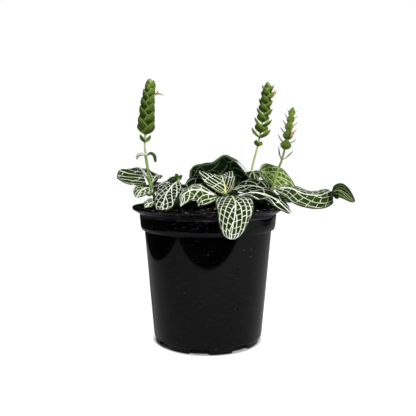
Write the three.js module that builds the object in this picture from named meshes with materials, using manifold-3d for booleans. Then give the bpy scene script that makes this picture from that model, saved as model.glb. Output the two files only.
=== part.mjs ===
// Potted nerve plant: netted leaves and three flower spikes in a black nursery pot.
// Millimetres, +Z up, front at -Y. Sizes and points are from the pot's axis and the surface it stands on;
// at the end all of it is moved sideways, so that the origin lies under the middle of the whole plant.
import * as THREE from 'three';
import { mergeVertices } from 'three/addons/utils/BufferGeometryUtils.js';
import Module from 'manifold-3d';

const wasm = await Module();
wasm.setup();

// Clearance between pieces that rest in or on each other
const GAP = 0.3;

// Pot
const POT_HEIGHT = 97;
const WALL = 1.2;
const LIP_RADIUS = 54;
const COLLAR_TOP_RADIUS = 48.8;
const COLLAR_TOP = 90.5;
const COLLAR_LOW_RADIUS = 48.1;
const COLLAR_LOW = 82.5;
const BODY_TOP_RADIUS = 45.4;
const BODY_TOP = 80;
const BODY_LOW_RADIUS = 39;
const FOOT_RADIUS = 37.5;
const FOOT_TOP = 3.4;
const FLOOR_UNDER = 4.6;
const POT_SIDES = 40;
const NOTCHES = 8;
const NOTCH_TURN = THREE.MathUtils.degToRad(-98.5);
const NOTCH_HEIGHT = 4;
const NOTCH_WIDE = 14.5;
const NOTCH_NARROW = 11;
const DRAIN_RADIUS = 3.5;
const DRAIN_CIRCLE = 27;

// Soil
const SOIL_EDGE = 91.5;
const SOIL_CROWN = 3.5;
const SOIL_RINGS = [12, 24, 36];
const SOIL_SIDES = 26;
const HOLE_FLOOR = 82;

// Plant
const BLADE_THICKNESS = 0.8;
const KEEL_DEPTH = 0.6;
const STEM_RADIUS = 1.1;
const PETIOLE_RADIUS = 0.8;
const KNUCKLE_RADIUS = 1.6;
const STALK_RADIUS = 0.75;
const BLADE_STEP = 6.5;
const DRIED_RADIUS = 0.4;

// Every leaf: the points that its midrib passes through, from the base to the tip; the way that its
// upper face looks along the midrib; its half width; how far its halves fold up and curl down, in
// degrees; where along it is widest; and the waves of its margin. Two numbers are for its two halves
const LEFT_SHOOT = {
  stem: [[-37.5, 6, 96], [-39, 5, 102], [-42.4, 4, 115.7], [-44.3, 3, 128.6], [-44.9, 3, 133]],
  leaves: {
    big: {
      from: [-41.4, 4.3, 110.5],
      rib: [[-42.7, 4, 111.5], [-45.5, 8.5, 117], [-49, 16, 121.5], [-52.5, 26, 123.5]],
      faces: [[0.25, -0.7, 0.6], [0.2, -0.55, 0.85]],
      half: 17, sides: [1.2, 0.4], fold: 3, curl: 6, peak: 0.4, waves: [2.5, 0.8],
    },
    right: {
      from: [-41.4, 4.3, 110.5],
      rib: [[-40.5, 5.5, 112.5], [-39, 8, 116], [-37.2, 11.5, 118], [-36, 14, 117.5]],
      faces: [[-0.2, -0.7, 0.7], [0.2, -0.5, 0.8]],
      half: 6.8, fold: 20, curl: 30, peak: 0.55, waves: [3, 0.8],
    },
    low: {
      from: [-40.8, 4.4, 108],
      rib: [[-41.5, 0.5, 109], [-44, -5.5, 109], [-47, -10, 107], [-49, -14, 103]],
      faces: [[-0.1, -0.7, 0.6], [-0.2, -0.9, 0.3]],
      half: 6.5, fold: 5, curl: 25, waves: [2.5, 0.6],
    },
    rear: {
      from: [-40.8, 4.4, 108],
      rib: [[-41, 9, 109.5], [-43, 18, 112], [-45, 28, 109], [-46, 37, 101]],
      faces: [[0, 0.2, 0.95], [-0.2, 0.8, 0.5]],
      half: 9.5, fold: 12, curl: 30, waves: [3, 0.8],
    },
    topRight: {
      from: [-44.8, 3, 131.8],
      rib: [[-43.9, 2.8, 132.6], [-41, 2, 134], [-38.3, 1, 132], [-37.5, 0, 127.5]],
      faces: [[0, -0.7, 0.7], [0.6, -0.7, 0.2]],
      half: 1.4, fold: 10, curl: 50, peak: 0.6, small: true,
    },
    topLeft: {
      from: [-44.8, 3, 131.8],
      rib: [[-45.8, 2.8, 132.6], [-48, 2, 133.3], [-50.5, 1, 132], [-50.5, 0, 129.5]],
      faces: [[0, -0.7, 0.7], [-0.6, -0.7, 0.2]],
      half: 1.6, fold: 10, curl: 50, small: true,
    },
  },
};

const RIM_SHOOT = {
  stem: [[-30.5, -3, 96], [-31, -3.5, 97.5], [-31.5, -4, 98.5]],
  leaves: {
    front: {
      from: [-31, -3.5, 97.5],
      rib: [[-33, -5, 98], [-37, -8.5, 99.5], [-40.5, -12.5, 98.5], [-43, -16, 96]],
      faces: [[0, -0.5, 0.9]],
      half: 5.5, fold: 8, curl: 20, waves: [2.5, 0.5],
    },
    back: {
      from: [-31, -3.5, 97.5],
      rib: [[-30.5, -1.5, 98.5], [-30, 4, 101], [-30, 11, 100.5], [-30, 17, 97.5]],
      faces: [[0, 0.1, 1]],
      half: 5, fold: 10, curl: 25, waves: [2.5, 0.5],
    },
  },
};

const INNER_SHOOT = {
  stem: [[-22, -4, 96], [-21.7, -5, 105], [-21, -7.5, 113], [-20.5, -8, 117.5]],
  leaves: {
    net: {
      from: [-21, -7.3, 112],
      rib: [[-20.8, -10, 114], [-24, -19, 111.5], [-28, -29, 105], [-29.5, -38, 96.5]],
      faces: [[-0.2, -0.6, 0.7], [-0.15, -0.95, 0.2]],
      half: 7.5, fold: 0, curl: 30, peak: 0.62, waves: [2.5, 0.7],
    },
    small: {
      from: [-21.8, -5, 105],
      rib: [[-24, -6, 107.5], [-28, -8.5, 111], [-31.5, -11.5, 109], [-35, -15, 104]],
      faces: [[-0.2, -0.5, 0.8], [-0.5, -0.8, 0.3]],
      half: 6, fold: 6, curl: 30, waves: [3, 0.7],
    },
    back: {
      from: [-21, -7.3, 112],
      rib: [[-22.5, -5, 113], [-25, -2, 115.5], [-28, 1, 115.5], [-30, 4, 113]],
      faces: [[0, -0.6, 0.8]],
      half: 4.5, fold: 10, curl: 50, waves: [2, 0.4],
    },
    rear: {
      from: [-21.8, -5, 105],
      rib: [[-21, -1, 106.5], [-20, 5, 108.5], [-19, 12, 107], [-18, 18, 102]],
      faces: [[0, 0.1, 1]],
      half: 7, fold: 10, curl: 30, waves: [3, 0.7],
    },
    tipLeft: {
      from: [-20.6, -7.9, 116.5],
      rib: [[-20.9, -8, 117.4], [-22, -9, 119.5], [-23, -10, 120.8]],
      faces: [[0.3, -0.7, 0.6]],
      half: 1.5, fold: 20, curl: 20, small: true,
    },
    tipRight: {
      from: [-20.6, -7.9, 116.5],
      rib: [[-20, -8, 117.4], [-19, -8, 118.8], [-18.2, -9, 119]],
      faces: [[-0.3, -0.7, 0.6]],
      half: 1.4, fold: 20, curl: 20, small: true,
    },
  },
};

const CENTRE_SHOOT = {
  stem: [[13, -12, 97], [13.2, -12.5, 100], [13, -13, 103], [12.8, -13.5, 105.5]],
  leaves: {
    left: {
      from: [13.2, -12.6, 101],
      rib: [[6, -16, 104], [-6, -19, 108.5], [-15, -24, 106.5], [-18, -31.5, 98]],
      faces: [[0, -0.7, 0.7], [-0.5, -0.8, 0.3]],
      half: 10.5, sides: [1.1, 0.65], fold: -4, curl: 34, peak: 0.38, waves: [2.5, 0.7], phase: 0.2,
    },
    front: {
      from: [13.1, -12.8, 102],
      rib: [[15, -19, 102.5], [15.5, -37, 105], [16.8, -57, 100], [13.8, -60.5, 80.5]],
      faces: [[0, -0.35, 0.95], [0, -1, 0.1]],
      half: 12, sides: [0.95, 1], fold: 3, curl: 26, peak: 0.54, waves: [3.5, 0.7],
    },
    young: {
      from: [12.9, -13.3, 104.5],
      rib: [[12.5, -14, 105.5], [11.8, -12, 111], [10.6, -8, 115.5], [10, -1.5, 117.5]],
      faces: [[0.1, -0.95, 0.3], [0, -0.4, 0.9]],
      half: 14, sides: [1.25, 0.68], fold: [18, 44], curl: 6, peak: [0.8, 0.5], waves: [3, 0.5],
    },
    dark: {
      from: [13.1, -12.8, 102],
      rib: [[9, -8, 104.5], [1, -5, 111], [-8, -6, 112], [-15.5, -10, 105]],
      faces: [[0, -0.7, 0.7], [-0.5, -0.8, 0.2]],
      half: 8.5, fold: 6, curl: 30, peak: 0.5, waves: [2.5, 0.6],
    },
    right: {
      from: [13.2, -12.6, 101],
      rib: [[19.5, -14, 103.5], [30.5, -19, 106.3], [43, -23, 103.5], [55, -28, 93.5]],
      faces: [[0, -0.3, 0.95], [0.5, -0.5, 0.7]],
      half: 11, sides: [1.1, 0.6], fold: 12, curl: 36, peak: [0.45, 0.32], waves: [3, 0.7],
    },
  },
};

const BACK_SHOOT = {
  stem: [[28, 17, 97], [29.3, 18, 105], [31.3, 19.3, 114], [32.8, 20, 121.3]],
  leaves: {
    dark: {
      from: [30.6, 18.9, 111],
      rib: [
        [33.6, 18.5, 113], [28.6, 17.5, 120], [22.8, 15.5, 126.8], [17.5, 13.5, 130],
        [11.6, 12, 132.2], [4, 11, 127], [-4, 9.5, 125.6], [-10, 6, 124.5], [-12.8, 2.5, 119.5],
        [-12.5, 0, 112.5],
      ],
      faces: [
        [-0.1, -0.95, 0.1], [-0.2, -0.95, 0.2], [0, -0.9, 0.4], [-0.1, -0.9, 0.35], [-0.4, -0.9, 0],
      ],
      half: 16, sides: [1.4, 0.07], fold: -14, curl: 12, peak: [0.4, 0.42], waves: [3, 1],
    },
    stripe: {
      from: [32.4, 19.8, 119.3],
      rib: [[33, 18, 120.5], [33.5, 15, 120.5], [34, 11.5, 118], [35, 9, 114]],
      faces: [[0, -0.6, 0.8]],
      half: 6.5, fold: 8, curl: 30, waves: [3, 0.6],
    },
    pale: {
      from: [32.4, 19.8, 119.3],
      rib: [[38.5, 20, 120.3], [46, 20, 119.5], [56, 18, 114.5], [66, 16, 105.5]],
      faces: [[-0.3, 0.8, -0.5]],
      half: 9, sides: [1.1, 0.9], fold: 5, curl: 20, waves: [2.5, 0.6],
    },
    rear: {
      from: [30, 18.4, 108],
      rib: [[33, 23, 110], [39, 30, 113], [46, 36, 110], [51, 42, 101]],
      faces: [[0.2, 0.1, 0.95], [0.4, 0.5, 0.7]],
      half: 9.5, fold: 12, curl: 30, waves: [3, 0.8],
    },
    far: {
      from: [31, 19.1, 113],
      rib: [[29.5, 22, 115], [26, 30, 119], [21, 38, 118], [16, 45, 111]],
      faces: [[-0.1, 0.1, 0.95], [-0.3, 0.7, 0.6]],
      half: 10, fold: 12, curl: 30, waves: [3, 0.8],
    },
  },
};

const RIGHT_SHOOT = {
  stem: [[41, -6, 97], [43.5, -5.2, 104], [46.5, -5, 112], [49.8, -5, 123.3]],
  leaves: {
    long: {
      from: [45, -5.1, 108],
      rib: [
        [47.5, -4, 109], [58, -5, 109], [68, -7, 105], [78, -8, 104.2], [86, -9.5, 107],
        [93, -11, 107.5], [102, -12, 100],
      ],
      faces: [
        ...Array(7).fill([0, -0.75, 0.66]), [0.05, -0.55, 0.8], [0.2, 0.7, 0.6],
        ...Array(3).fill([0.2, 0.95, 0.1]),
      ],
      half: 9, sides: [0.8, 1.05], fold: -18, curl: 15, peak: 0.48, waves: [2.5, 0.5], rows: 16,
    },
    left: {
      from: [45, -5.1, 108],
      rib: [[43, -4, 108], [37, 1, 109.5], [29, 5, 110.5], [21, 5.5, 107.5]],
      faces: [[0, -0.85, 0.5]],
      half: 6.5, fold: 8, curl: 25, waves: [3, 0.6],
    },
    rear: {
      from: [43.6, -5.2, 104],
      rib: [[45.5, -1, 104.5], [52, 8, 106.5], [58, 17, 104], [62, 25, 98]],
      faces: [[0.1, 0.1, 0.95], [0.4, 0.4, 0.7]],
      half: 8, fold: 12, curl: 30, waves: [3, 0.8],
    },
  },
};

const REAR_LEFT_SHOOT = {
  stem: [[-16, 27, 95], [-16.5, 27.5, 101], [-17, 28, 107]],
  leaves: {
    left: {
      from: [-16.8, 27.8, 104],
      rib: [[-19.5, 29, 106], [-26, 33, 108.5], [-32.5, 39.5, 105], [-37, 46, 98]],
      faces: [[-0.1, 0.1, 0.95], [-0.4, 0.4, 0.8]],
      half: 9, fold: 12, curl: 30, waves: [3, 0.8],
    },
    right: {
      from: [-16.8, 27.8, 104],
      rib: [[-14, 28, 106], [-7, 27, 109.5], [2, 27, 108.5], [10, 28, 102.5]],
      faces: [[0, 0, 1], [0.3, 0.2, 0.9]],
      half: 8.5, fold: 12, curl: 30, waves: [3, 0.8],
    },
    over: {
      from: [-17, 28, 106],
      rib: [[-17.5, 31, 107.5], [-18.5, 42, 109.5], [-20.5, 55, 103.5], [-21.5, 61, 90.5]],
      faces: [[0, 0.3, 0.95], [-0.1, 0.95, 0.3]],
      half: 10.5, fold: 5, curl: 30, waves: [3, 0.8],
    },
    front: {
      from: [-17, 28, 106],
      rib: [[-17, 26, 107.5], [-13, 20, 111], [-10, 14, 111], [-8, 8, 108]],
      faces: [[0, -0.2, 1], [0, -0.5, 0.8]],
      half: 7, fold: 15, curl: 25, waves: [3, 0.7],
    },
  },
};

const REAR_RIGHT_SHOOT = {
  stem: [[19, 33, 95], [19.3, 33.3, 99], [19.5, 33.5, 103]],
  leaves: {
    right: {
      from: [19.3, 33.4, 100.5],
      rib: [[22, 34.5, 101.5], [29, 40, 103], [35, 47, 100.5], [39, 54, 94]],
      faces: [[0.1, 0.1, 0.95], [0.3, 0.6, 0.7]],
      half: 8, fold: 10, curl: 30, waves: [3, 0.7],
    },
    over: {
      from: [19.4, 33.5, 102],
      rib: [[19, 36.5, 103.5], [16, 45, 106], [11, 56, 101.5], [7, 62, 88.5]],
      faces: [[0, 0.3, 0.95], [-0.1, 0.95, 0.3]],
      half: 10.5, fold: 5, curl: 30, waves: [3, 0.8],
    },
    left: {
      from: [19.3, 33.4, 100.5],
      rib: [[16, 34.5, 101.5], [9, 37.5, 102], [1, 42, 100], [-5, 47, 96.5]],
      faces: [[-0.1, 0.1, 0.95], [-0.3, 0.6, 0.7]],
      half: 7, fold: 10, curl: 25, waves: [3, 0.6],
    },
  },
};

// Every spike: the line of its stalk, where on it the lowest pair of bracts and the next pair grow, the
// number of crossed pairs and their turn, the size of the lowest pair, the length, width and spread of
// the lower and upper bracts, and those of every second pair where it is made of bristles
const SPIKES = {
  left: {
    stalk: [[-44.9, 3, 133.6], [-45.3, 3, 139.8], [-44.5, 2.5, 151], [-42.9, 1.5, 167], [-41, 0, 180]],
    start: [0.17, 0.29], pairs: 13, turn: 45, lowest: 0.6,
    length: [12.5, 8.5], width: [9, 6.6], spread: [42, 23],
  },
  middle: {
    stalk: [[32.9, 20, 121.7], [35, 20, 131], [37.6, 20, 141], [41.6, 20, 163], [44.4, 20, 182]],
    start: [0.3, 0.4], pairs: 13, turn: 60, lowest: 0.6,
    length: [11, 7.5], width: [8.4, 6], spread: [45, 26],
  },
  right: {
    stalk: [[50, -5, 123.7], [52.4, -5, 130.4], [54.8, -5, 141], [56.8, -5, 152], [58.5, -5, 161.5]],
    start: [0.14, 0.34], pairs: 11, turn: 4, lowest: 1.1,
    length: [8.4, 7], width: [7.6, 4.4], spread: [28, 12],
    bristles: { length: [9, 5.5], width: [3, 1.4], spread: [30, 30] },
  },
};

// Every dried flower: the lines of its wilted tube and of the strand that forks from it
const DRIED_FLOWERS = {
  left: [
    [[-39.8, 0, 172.8], [-38.3, 0, 174.1], [-36.6, 0, 175.6], [-34.7, 0, 178.1]],
    [[-37.4, 0, 174.9], [-34.3, -0.5, 175.6], [-31.3, -1, 174.2]],
  ],
  middle: [
    [[46.5, 18.5, 174], [48, 18.5, 175.9], [49.6, 18.3, 178], [51.1, 18, 180.4]],
    [[48.3, 18.5, 176.4], [49, 18.2, 179], [49.3, 17.5, 181]],
  ],
  right: [
    [[56.9, -9.2, 142.6], [57.5, -10, 145.5], [57.8, -10.5, 149], [58.2, -10, 153.4]],
    [[57.4, -10, 145], [59, -11, 147], [60, -11, 149.5]],
  ],
};

// Finishes
const POT_PLASTIC = { color: 0x151718, roughness: 0.3, metalness: 0 };
const PEAT = { color: 0x1e1712, roughness: 0.95, metalness: 0 };
const LEAF_GREEN = { color: 0x2f5526, roughness: 0.45, metalness: 0 };
const BRACT_GREEN = { color: 0x4b7a24, roughness: 0.55, metalness: 0 };
const DRIED_TAN = { color: 0xb08a55, roughness: 0.8, metalness: 0 };

const vector = (p) => new THREE.Vector3(p[0], p[1], p[2]);
const mix = (a, b, t) => a + (b - a) * t;

// Closed solids

function solid(geometry) {
  const bare = geometry.clone();
  bare.deleteAttribute('normal');
  bare.deleteAttribute('uv');
  const merged = mergeVertices(bare, 1e-4);
  return new wasm.Manifold(new wasm.Mesh({
    numProp: 3,
    vertProperties: new Float32Array(merged.attributes.position.array),
    triVerts: new Uint32Array(merged.index.array),
  }));
}

function geometryOf(manifold) {
  const mesh = manifold.getMesh();
  const geometry = new THREE.BufferGeometry();
  geometry.setAttribute('position', new THREE.BufferAttribute(mesh.vertProperties, 3));
  geometry.setIndex(new THREE.BufferAttribute(mesh.triVerts, 1));
  geometry.computeVertexNormals();
  return geometry;
}

function largestBody(manifold) {
  const bodies = manifold.decompose();
  return bodies.reduce((best, body) => (body.volume() > best.volume() ? body : best));
}

const fuse = (solids) => largestBody(solids.reduce((sum, next) => sum.add(next)));

function piece(name, manifold, finish) {
  const mesh = new THREE.Mesh(geometryOf(manifold), new THREE.MeshStandardMaterial(finish));
  mesh.name = name;
  return mesh;
}

// Smooth lines

// Smooth line through points, equal steps of t from each point to the next
class SmoothLine extends THREE.Curve {
  constructor(points) {
    super();
    const inner = points.map(vector);
    const before = inner[0].clone().multiplyScalar(2).sub(inner[1]);
    const after = inner.at(-1).clone().multiplyScalar(2).sub(inner.at(-2));
    this.points = [before, ...inner, after];
  }

  getPoint(t, target = new THREE.Vector3()) {
    const spans = this.points.length - 3;
    const span = Math.min(Math.floor(t * spans), spans - 1);
    const u = t * spans - span;
    const [a, b, c, d] = this.points.slice(span, span + 4);
    const blend = (p, q, r, s) => 0.5 * (2 * q + (r - p) * u + (2 * p - 5 * q + 4 * r - s) * u * u
      + (3 * q - p - 3 * r + s) * u * u * u);
    return target.set(blend(a.x, b.x, c.x, d.x), blend(a.y, b.y, c.y, d.y), blend(a.z, b.z, c.z, d.z));
  }
}

function polygon(radius, sides) {
  const corners = [];
  for (let i = 0; i < sides; i += 1) {
    const angle = (2 * Math.PI * i) / sides;
    corners.push(new THREE.Vector2(radius * Math.cos(angle), radius * Math.sin(angle)));
  }
  return new THREE.Shape(corners);
}

function tube(points, radius, steps, sides = 5) {
  const options = { steps, bevelEnabled: false, extrudePath: new SmoothLine(points) };
  return solid(new THREE.ExtrudeGeometry(polygon(radius, sides), options));
}

function cylinder(radius, low, high, x, y, sides) {
  const options = { depth: high - low, bevelEnabled: false };
  return solid(new THREE.ExtrudeGeometry(polygon(radius, sides), options).translate(x, y, low));
}

function knuckle(point, radius) {
  return solid(new THREE.SphereGeometry(radius, 6, 4).translate(point[0], point[1], point[2]));
}

// Pot

function potProfile() {
  const foot = [[0, FLOOR_UNDER], [FOOT_RADIUS - WALL, FLOOR_UNDER], [FOOT_RADIUS - WALL, 0], [FOOT_RADIUS, 0]];
  const body = [[FOOT_RADIUS, FOOT_TOP], [BODY_LOW_RADIUS, FOOT_TOP + 0.5], [BODY_TOP_RADIUS, BODY_TOP]];
  const collar = [
    [COLLAR_LOW_RADIUS - 0.5, BODY_TOP + 0.5],
    [COLLAR_LOW_RADIUS, COLLAR_LOW],
    [COLLAR_TOP_RADIUS, COLLAR_TOP],
  ];
  const lip = [
    [LIP_RADIUS - 3.4, COLLAR_TOP + 2.2],
    [LIP_RADIUS - 0.3, POT_HEIGHT - 2.6],
    [LIP_RADIUS, POT_HEIGHT - 0.7],
    [LIP_RADIUS - 0.9, POT_HEIGHT],
    [LIP_RADIUS - 2.1, POT_HEIGHT - 1.3],
    [LIP_RADIUS - 4.6, COLLAR_TOP + 3],
  ];
  const inside = [
    [COLLAR_TOP_RADIUS - WALL, COLLAR_TOP + 0.6],
    [COLLAR_LOW_RADIUS - WALL, COLLAR_LOW + 0.5],
    [BODY_TOP_RADIUS - WALL, BODY_TOP + 0.8],
    [BODY_LOW_RADIUS - WALL, FLOOR_UNDER + WALL],
    [0, FLOOR_UNDER + WALL],
  ];
  return [...foot, ...body, ...collar, ...lip, ...inside];
}

function drainNotch(angle) {
  const shape = new THREE.Shape([
    new THREE.Vector2(-NOTCH_WIDE / 2 - 0.5, -1),
    new THREE.Vector2(NOTCH_WIDE / 2 + 0.5, -1),
    new THREE.Vector2(NOTCH_NARROW / 2, NOTCH_HEIGHT),
    new THREE.Vector2(-NOTCH_NARROW / 2, NOTCH_HEIGHT),
  ]);
  const depth = 12;
  const geometry = new THREE.ExtrudeGeometry(shape, { depth, bevelEnabled: false });
  geometry.rotateX(Math.PI / 2).rotateZ(Math.PI / 2);
  geometry.translate(FOOT_RADIUS - depth / 2, 0, 0).rotateZ(angle);
  return solid(geometry);
}

function pot() {
  const points = potProfile().map(([r, z]) => new THREE.Vector2(r, z));
  let body = solid(new THREE.LatheGeometry(points, POT_SIDES).rotateX(Math.PI / 2));
  for (let i = 0; i < NOTCHES; i += 1) {
    const angle = NOTCH_TURN + (2 * Math.PI * i) / NOTCHES;
    const x = DRAIN_CIRCLE * Math.cos(angle);
    const y = DRAIN_CIRCLE * Math.sin(angle);
    body = body.subtract(drainNotch(angle));
    body = body.subtract(cylinder(DRAIN_RADIUS, 0, FLOOR_UNDER + 3 * WALL, x, y, 10));
  }
  return body.subtract(cylinder(DRAIN_RADIUS, 0, FLOOR_UNDER + 3 * WALL, 0, 0, 10));
}

// Soil

function soilHeight(x, y) {
  const crown = SOIL_CROWN * (1 - (x * x + y * y) / 2200);
  const lumps = 0.7 * Math.sin(0.31 * x + 1.3) * Math.cos(0.27 * y) + 0.4 * Math.sin(0.53 * y - 0.41 * x);
  return SOIL_EDGE + crown + lumps;
}

function soilBlock() {
  const wall = WALL + 1.5 * GAP;
  const side = [
    [COLLAR_TOP_RADIUS - wall - 0.1, null],
    [COLLAR_LOW_RADIUS - wall, COLLAR_LOW + 0.8],
    [BODY_TOP_RADIUS - wall, BODY_TOP + 1.1],
    [BODY_LOW_RADIUS - wall, FLOOR_UNDER + WALL + GAP],
  ];
  const rings = [...SOIL_RINGS.map((radius) => [radius, null]), ...side];
  const corners = [new THREE.Vector3(0, 0, soilHeight(0, 0))];
  for (const [radius, level] of rings) {
    for (let i = 0; i < SOIL_SIDES; i += 1) {
      const angle = (2 * Math.PI * i) / SOIL_SIDES;
      const x = radius * Math.cos(angle);
      const y = radius * Math.sin(angle);
      corners.push(new THREE.Vector3(x, y, level ?? soilHeight(x, y)));
    }
  }
  corners.push(new THREE.Vector3(0, 0, FLOOR_UNDER + WALL + GAP));
  return corners;
}

function soil(shoots) {
  const around = SOIL_SIDES;
  const corners = soilBlock();
  const last = corners.length - 1;
  const index = [];
  for (let i = 0; i < around; i += 1) {
    const next = (i + 1) % around;
    index.push(0, 1 + i, 1 + next);
    index.push(last, last - around + next, last - around + i);
    for (let low = 1 + around; low < last; low += around) {
      const high = low - around;
      index.push(high + i, low + i, low + next);
      index.push(high + i, low + next, high + next);
    }
  }
  const geometry = new THREE.BufferGeometry().setFromPoints(corners);
  geometry.setIndex(index);
  let body = solid(geometry);
  for (const shoot of shoots) {
    const [x, y] = shoot.stem[0];
    body = body.subtract(cylinder(STEM_RADIUS + 1.5 * GAP, HOLE_FLOOR, POT_HEIGHT + 10, x, y, 8));
  }
  return body;
}

// Leaves

function widthAt(t, peak) {
  const rise = 0.55;
  const fall = (rise * (1 - peak)) / peak;
  const top = peak ** rise * (1 - peak) ** fall;
  return (t ** rise * (1 - t) ** fall) / top;
}

function faceAt(faces, t) {
  const spans = faces.length - 1;
  if (spans === 0) {
    return vector(faces[0]);
  }
  const span = Math.min(Math.floor(t * spans), spans - 1);
  return vector(faces[span]).lerp(vector(faces[span + 1]), t * spans - span);
}

const forHalf = (value, s) => (Array.isArray(value) ? value[s < 0 ? 0 : 1] : value);

// Middle of the blade: t runs from its base to its tip, s across it, from -1 to 1
function bladePoint(leaf, line, t, s) {
  const { half, faces, fold, curl, sides = 1, peak = 0.41, waves = [0, 0], phase = 0 } = leaf;
  const step = 0.001;
  const along = line.getPoint(Math.min(t + step, 1)).sub(line.getPoint(Math.max(t - step, 0))).normalize();
  const face = faceAt(faces, t);
  face.addScaledVector(along, -face.dot(along)).normalize();
  const right = along.clone().cross(face);
  const side = Math.sign(s);
  const reach = (half * widthAt(t, forHalf(peak, s)) + 0.35) * forHalf(sides, s);
  const lift = THREE.MathUtils.degToRad(forHalf(fold, s));
  const bend = THREE.MathUtils.degToRad(curl);
  const across = (Math.sin(lift) - Math.sin(lift - bend * Math.abs(s))) / bend;
  const up = (Math.cos(lift - bend * Math.abs(s)) - Math.cos(lift)) / bend;
  const beat = Math.sin(2 * Math.PI * (waves[0] * t + phase + 0.37 * side));
  const ripple = waves[1] * s * s * beat * Math.sqrt(Math.sin(Math.PI * t));
  return line.getPoint(t).addScaledVector(right, side * across * reach)
    .addScaledVector(face, up * reach + ripple);
}

function bladeNormal(leaf, line, t, s) {
  const step = 0.01;
  const point = (a, b) => bladePoint(leaf, line, Math.min(Math.max(a, 0.005), 0.995), b);
  const lengthwise = point(t + step, s).sub(point(t - step, s));
  const crosswise = point(t, s + step).sub(point(t, s - step));
  return crosswise.cross(lengthwise).normalize();
}

// Closed sheet of a leaf: the same triangles on its two faces, and a keel under the midrib
function blade(leaf) {
  const line = new SmoothLine(leaf.rib);
  const rows = leaf.rows ?? Math.max(4, Math.round(line.getLength() / BLADE_STEP));
  const halves = leaf.small ? 1 : 2;
  const columns = 2 * halves;
  const upper = [];
  const lower = [];
  for (let i = 0; i <= rows; i += 1) {
    for (let j = 0; j <= columns; j += 1) {
      const t = i / rows;
      const s = j / halves - 1;
      const middle = bladePoint(leaf, line, t, s);
      const normal = bladeNormal(leaf, line, t, s);
      const keel = j === halves && !leaf.small ? KEEL_DEPTH * (1 - 0.7 * t) : 0;
      upper.push(middle.clone().addScaledVector(normal, BLADE_THICKNESS / 2));
      lower.push(middle.clone().addScaledVector(normal, -BLADE_THICKNESS / 2 - keel));
    }
  }
  const count = upper.length;
  const index = [];
  const quad = (a, b, c, d) => index.push(a, b, c, a, c, d);
  for (let i = 0; i < rows; i += 1) {
    for (let j = 0; j < columns; j += 1) {
      const a = i * (columns + 1) + j;
      const b = a + 1;
      const c = b + columns + 1;
      const d = a + columns + 1;
      quad(a, b, c, d);
      quad(count + c, count + b, count + a, count + d);
    }
    const left = i * (columns + 1);
    const right = left + columns;
    const up = columns + 1;
    quad(left, left + up, count + left + up, count + left);
    quad(right + up, right, count + right, count + right + up);
  }
  const end = rows * (columns + 1);
  for (let j = 0; j < columns; j += 1) {
    quad(j + 1, j, count + j, count + j + 1);
    quad(end + j, end + j + 1, count + end + j + 1, count + end + j);
  }
  const geometry = new THREE.BufferGeometry().setFromPoints([...upper, ...lower]);
  geometry.setIndex(index);
  return solid(geometry);
}

function leafOnStem(leaf) {
  const line = new SmoothLine(leaf.rib);
  const into = line.getPoint(leaf.small ? 0.25 : 0.05);
  const radius = leaf.small ? 0.55 : PETIOLE_RADIUS;
  return [tube([leaf.from, leaf.rib[0], into.toArray()], radius, 2), blade(leaf)];
}

// A stem stands in its hole in the soil and carries its leaves
function leafyShoot(shoot) {
  const [x, y, z] = shoot.stem[0];
  const foot = [x, y, HOLE_FLOOR + GAP];
  const stem = tube([foot, [x, y, (z + foot[2]) / 2], ...shoot.stem], STEM_RADIUS, 8, 6);
  const parts = [stem];
  const swollen = new Set();
  for (const leaf of Object.values(shoot.leaves)) {
    if (!leaf.small && !swollen.has(leaf.from[2])) {
      parts.push(knuckle(leaf.from, KNUCKLE_RADIUS));
      swollen.add(leaf.from[2]);
    }
    parts.push(...leafOnStem(leaf));
  }
  return fuse(parts);
}

// Flower spikes

// A bract is a cupped, pointed scale, with its corners round two raised middles
function bract(foot, axis, outward, length, width, spread) {
  const across = axis.clone().cross(outward);
  const tilt = THREE.MathUtils.degToRad(spread);
  const place = (u, side, bulge) => foot.clone()
    .addScaledVector(outward, length * Math.sin(tilt) * (1.35 * u - 0.4 * u * u) + bulge)
    .addScaledVector(axis, length * Math.cos(tilt) * (0.85 * u + 0.15 * u * u) - 0.4 * bulge)
    .addScaledVector(across, side * width / 2);
  const points = [
    place(0, 0, 0), place(0.36, -1, -0.35), place(0.74, -0.7, -0.25), place(1, 0, 0),
    place(0.74, 0.7, -0.25), place(0.36, 1, -0.35),
    place(0.42, 0, 0.6), place(0.42, 0, -0.2),
  ];
  const index = [];
  const corners = 6;
  for (let i = 0; i < corners; i += 1) {
    const next = (i + 1) % corners;
    index.push(i, corners, next, next, corners + 1, i);
  }
  const geometry = new THREE.BufferGeometry().setFromPoints(points);
  geometry.setIndex(index);
  return solid(geometry);
}

function flowerSpike(spike) {
  const line = new SmoothLine(spike.stalk);
  const parts = [tube(spike.stalk, STALK_RADIUS, 8)];
  for (let i = 0; i < spike.pairs; i += 1) {
    const rank = Math.max(i - 1, 0) / (spike.pairs - 2);
    const t = i === 0 ? spike.start[0] : mix(spike.start[1], 0.985, rank * (1.3 - 0.3 * rank));
    const foot = line.getPointAt(t);
    const axis = line.getTangentAt(t);
    const turn = THREE.MathUtils.degToRad(spike.turn + 90 * (i % 2));
    const outward = new THREE.Vector3(Math.cos(turn), Math.sin(turn), 0);
    outward.addScaledVector(axis, -outward.dot(axis)).normalize();
    const kind = i % 2 ? spike : spike.bristles ?? spike;
    const size = i === 0 ? spike.lowest : 1;
    const length = size * mix(...kind.length, rank);
    const width = size * mix(...kind.width, rank);
    const spread = mix(...kind.spread, rank);
    for (const way of [1, -1]) {
      parts.push(bract(foot, axis, outward.clone().multiplyScalar(way), length, width, spread));
    }
  }
  const tip = spike.stalk.at(-1);
  parts.push(solid(new THREE.SphereGeometry(1.5, 8, 6).scale(1, 1, 1.9).translate(...tip)));
  return fuse(parts);
}

// A dried flower leans out of the bracts, clear of them
function driedFlower(lines) {
  return fuse(lines.map((line) => tube(line, DRIED_RADIUS, 3, 4)));
}

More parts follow.
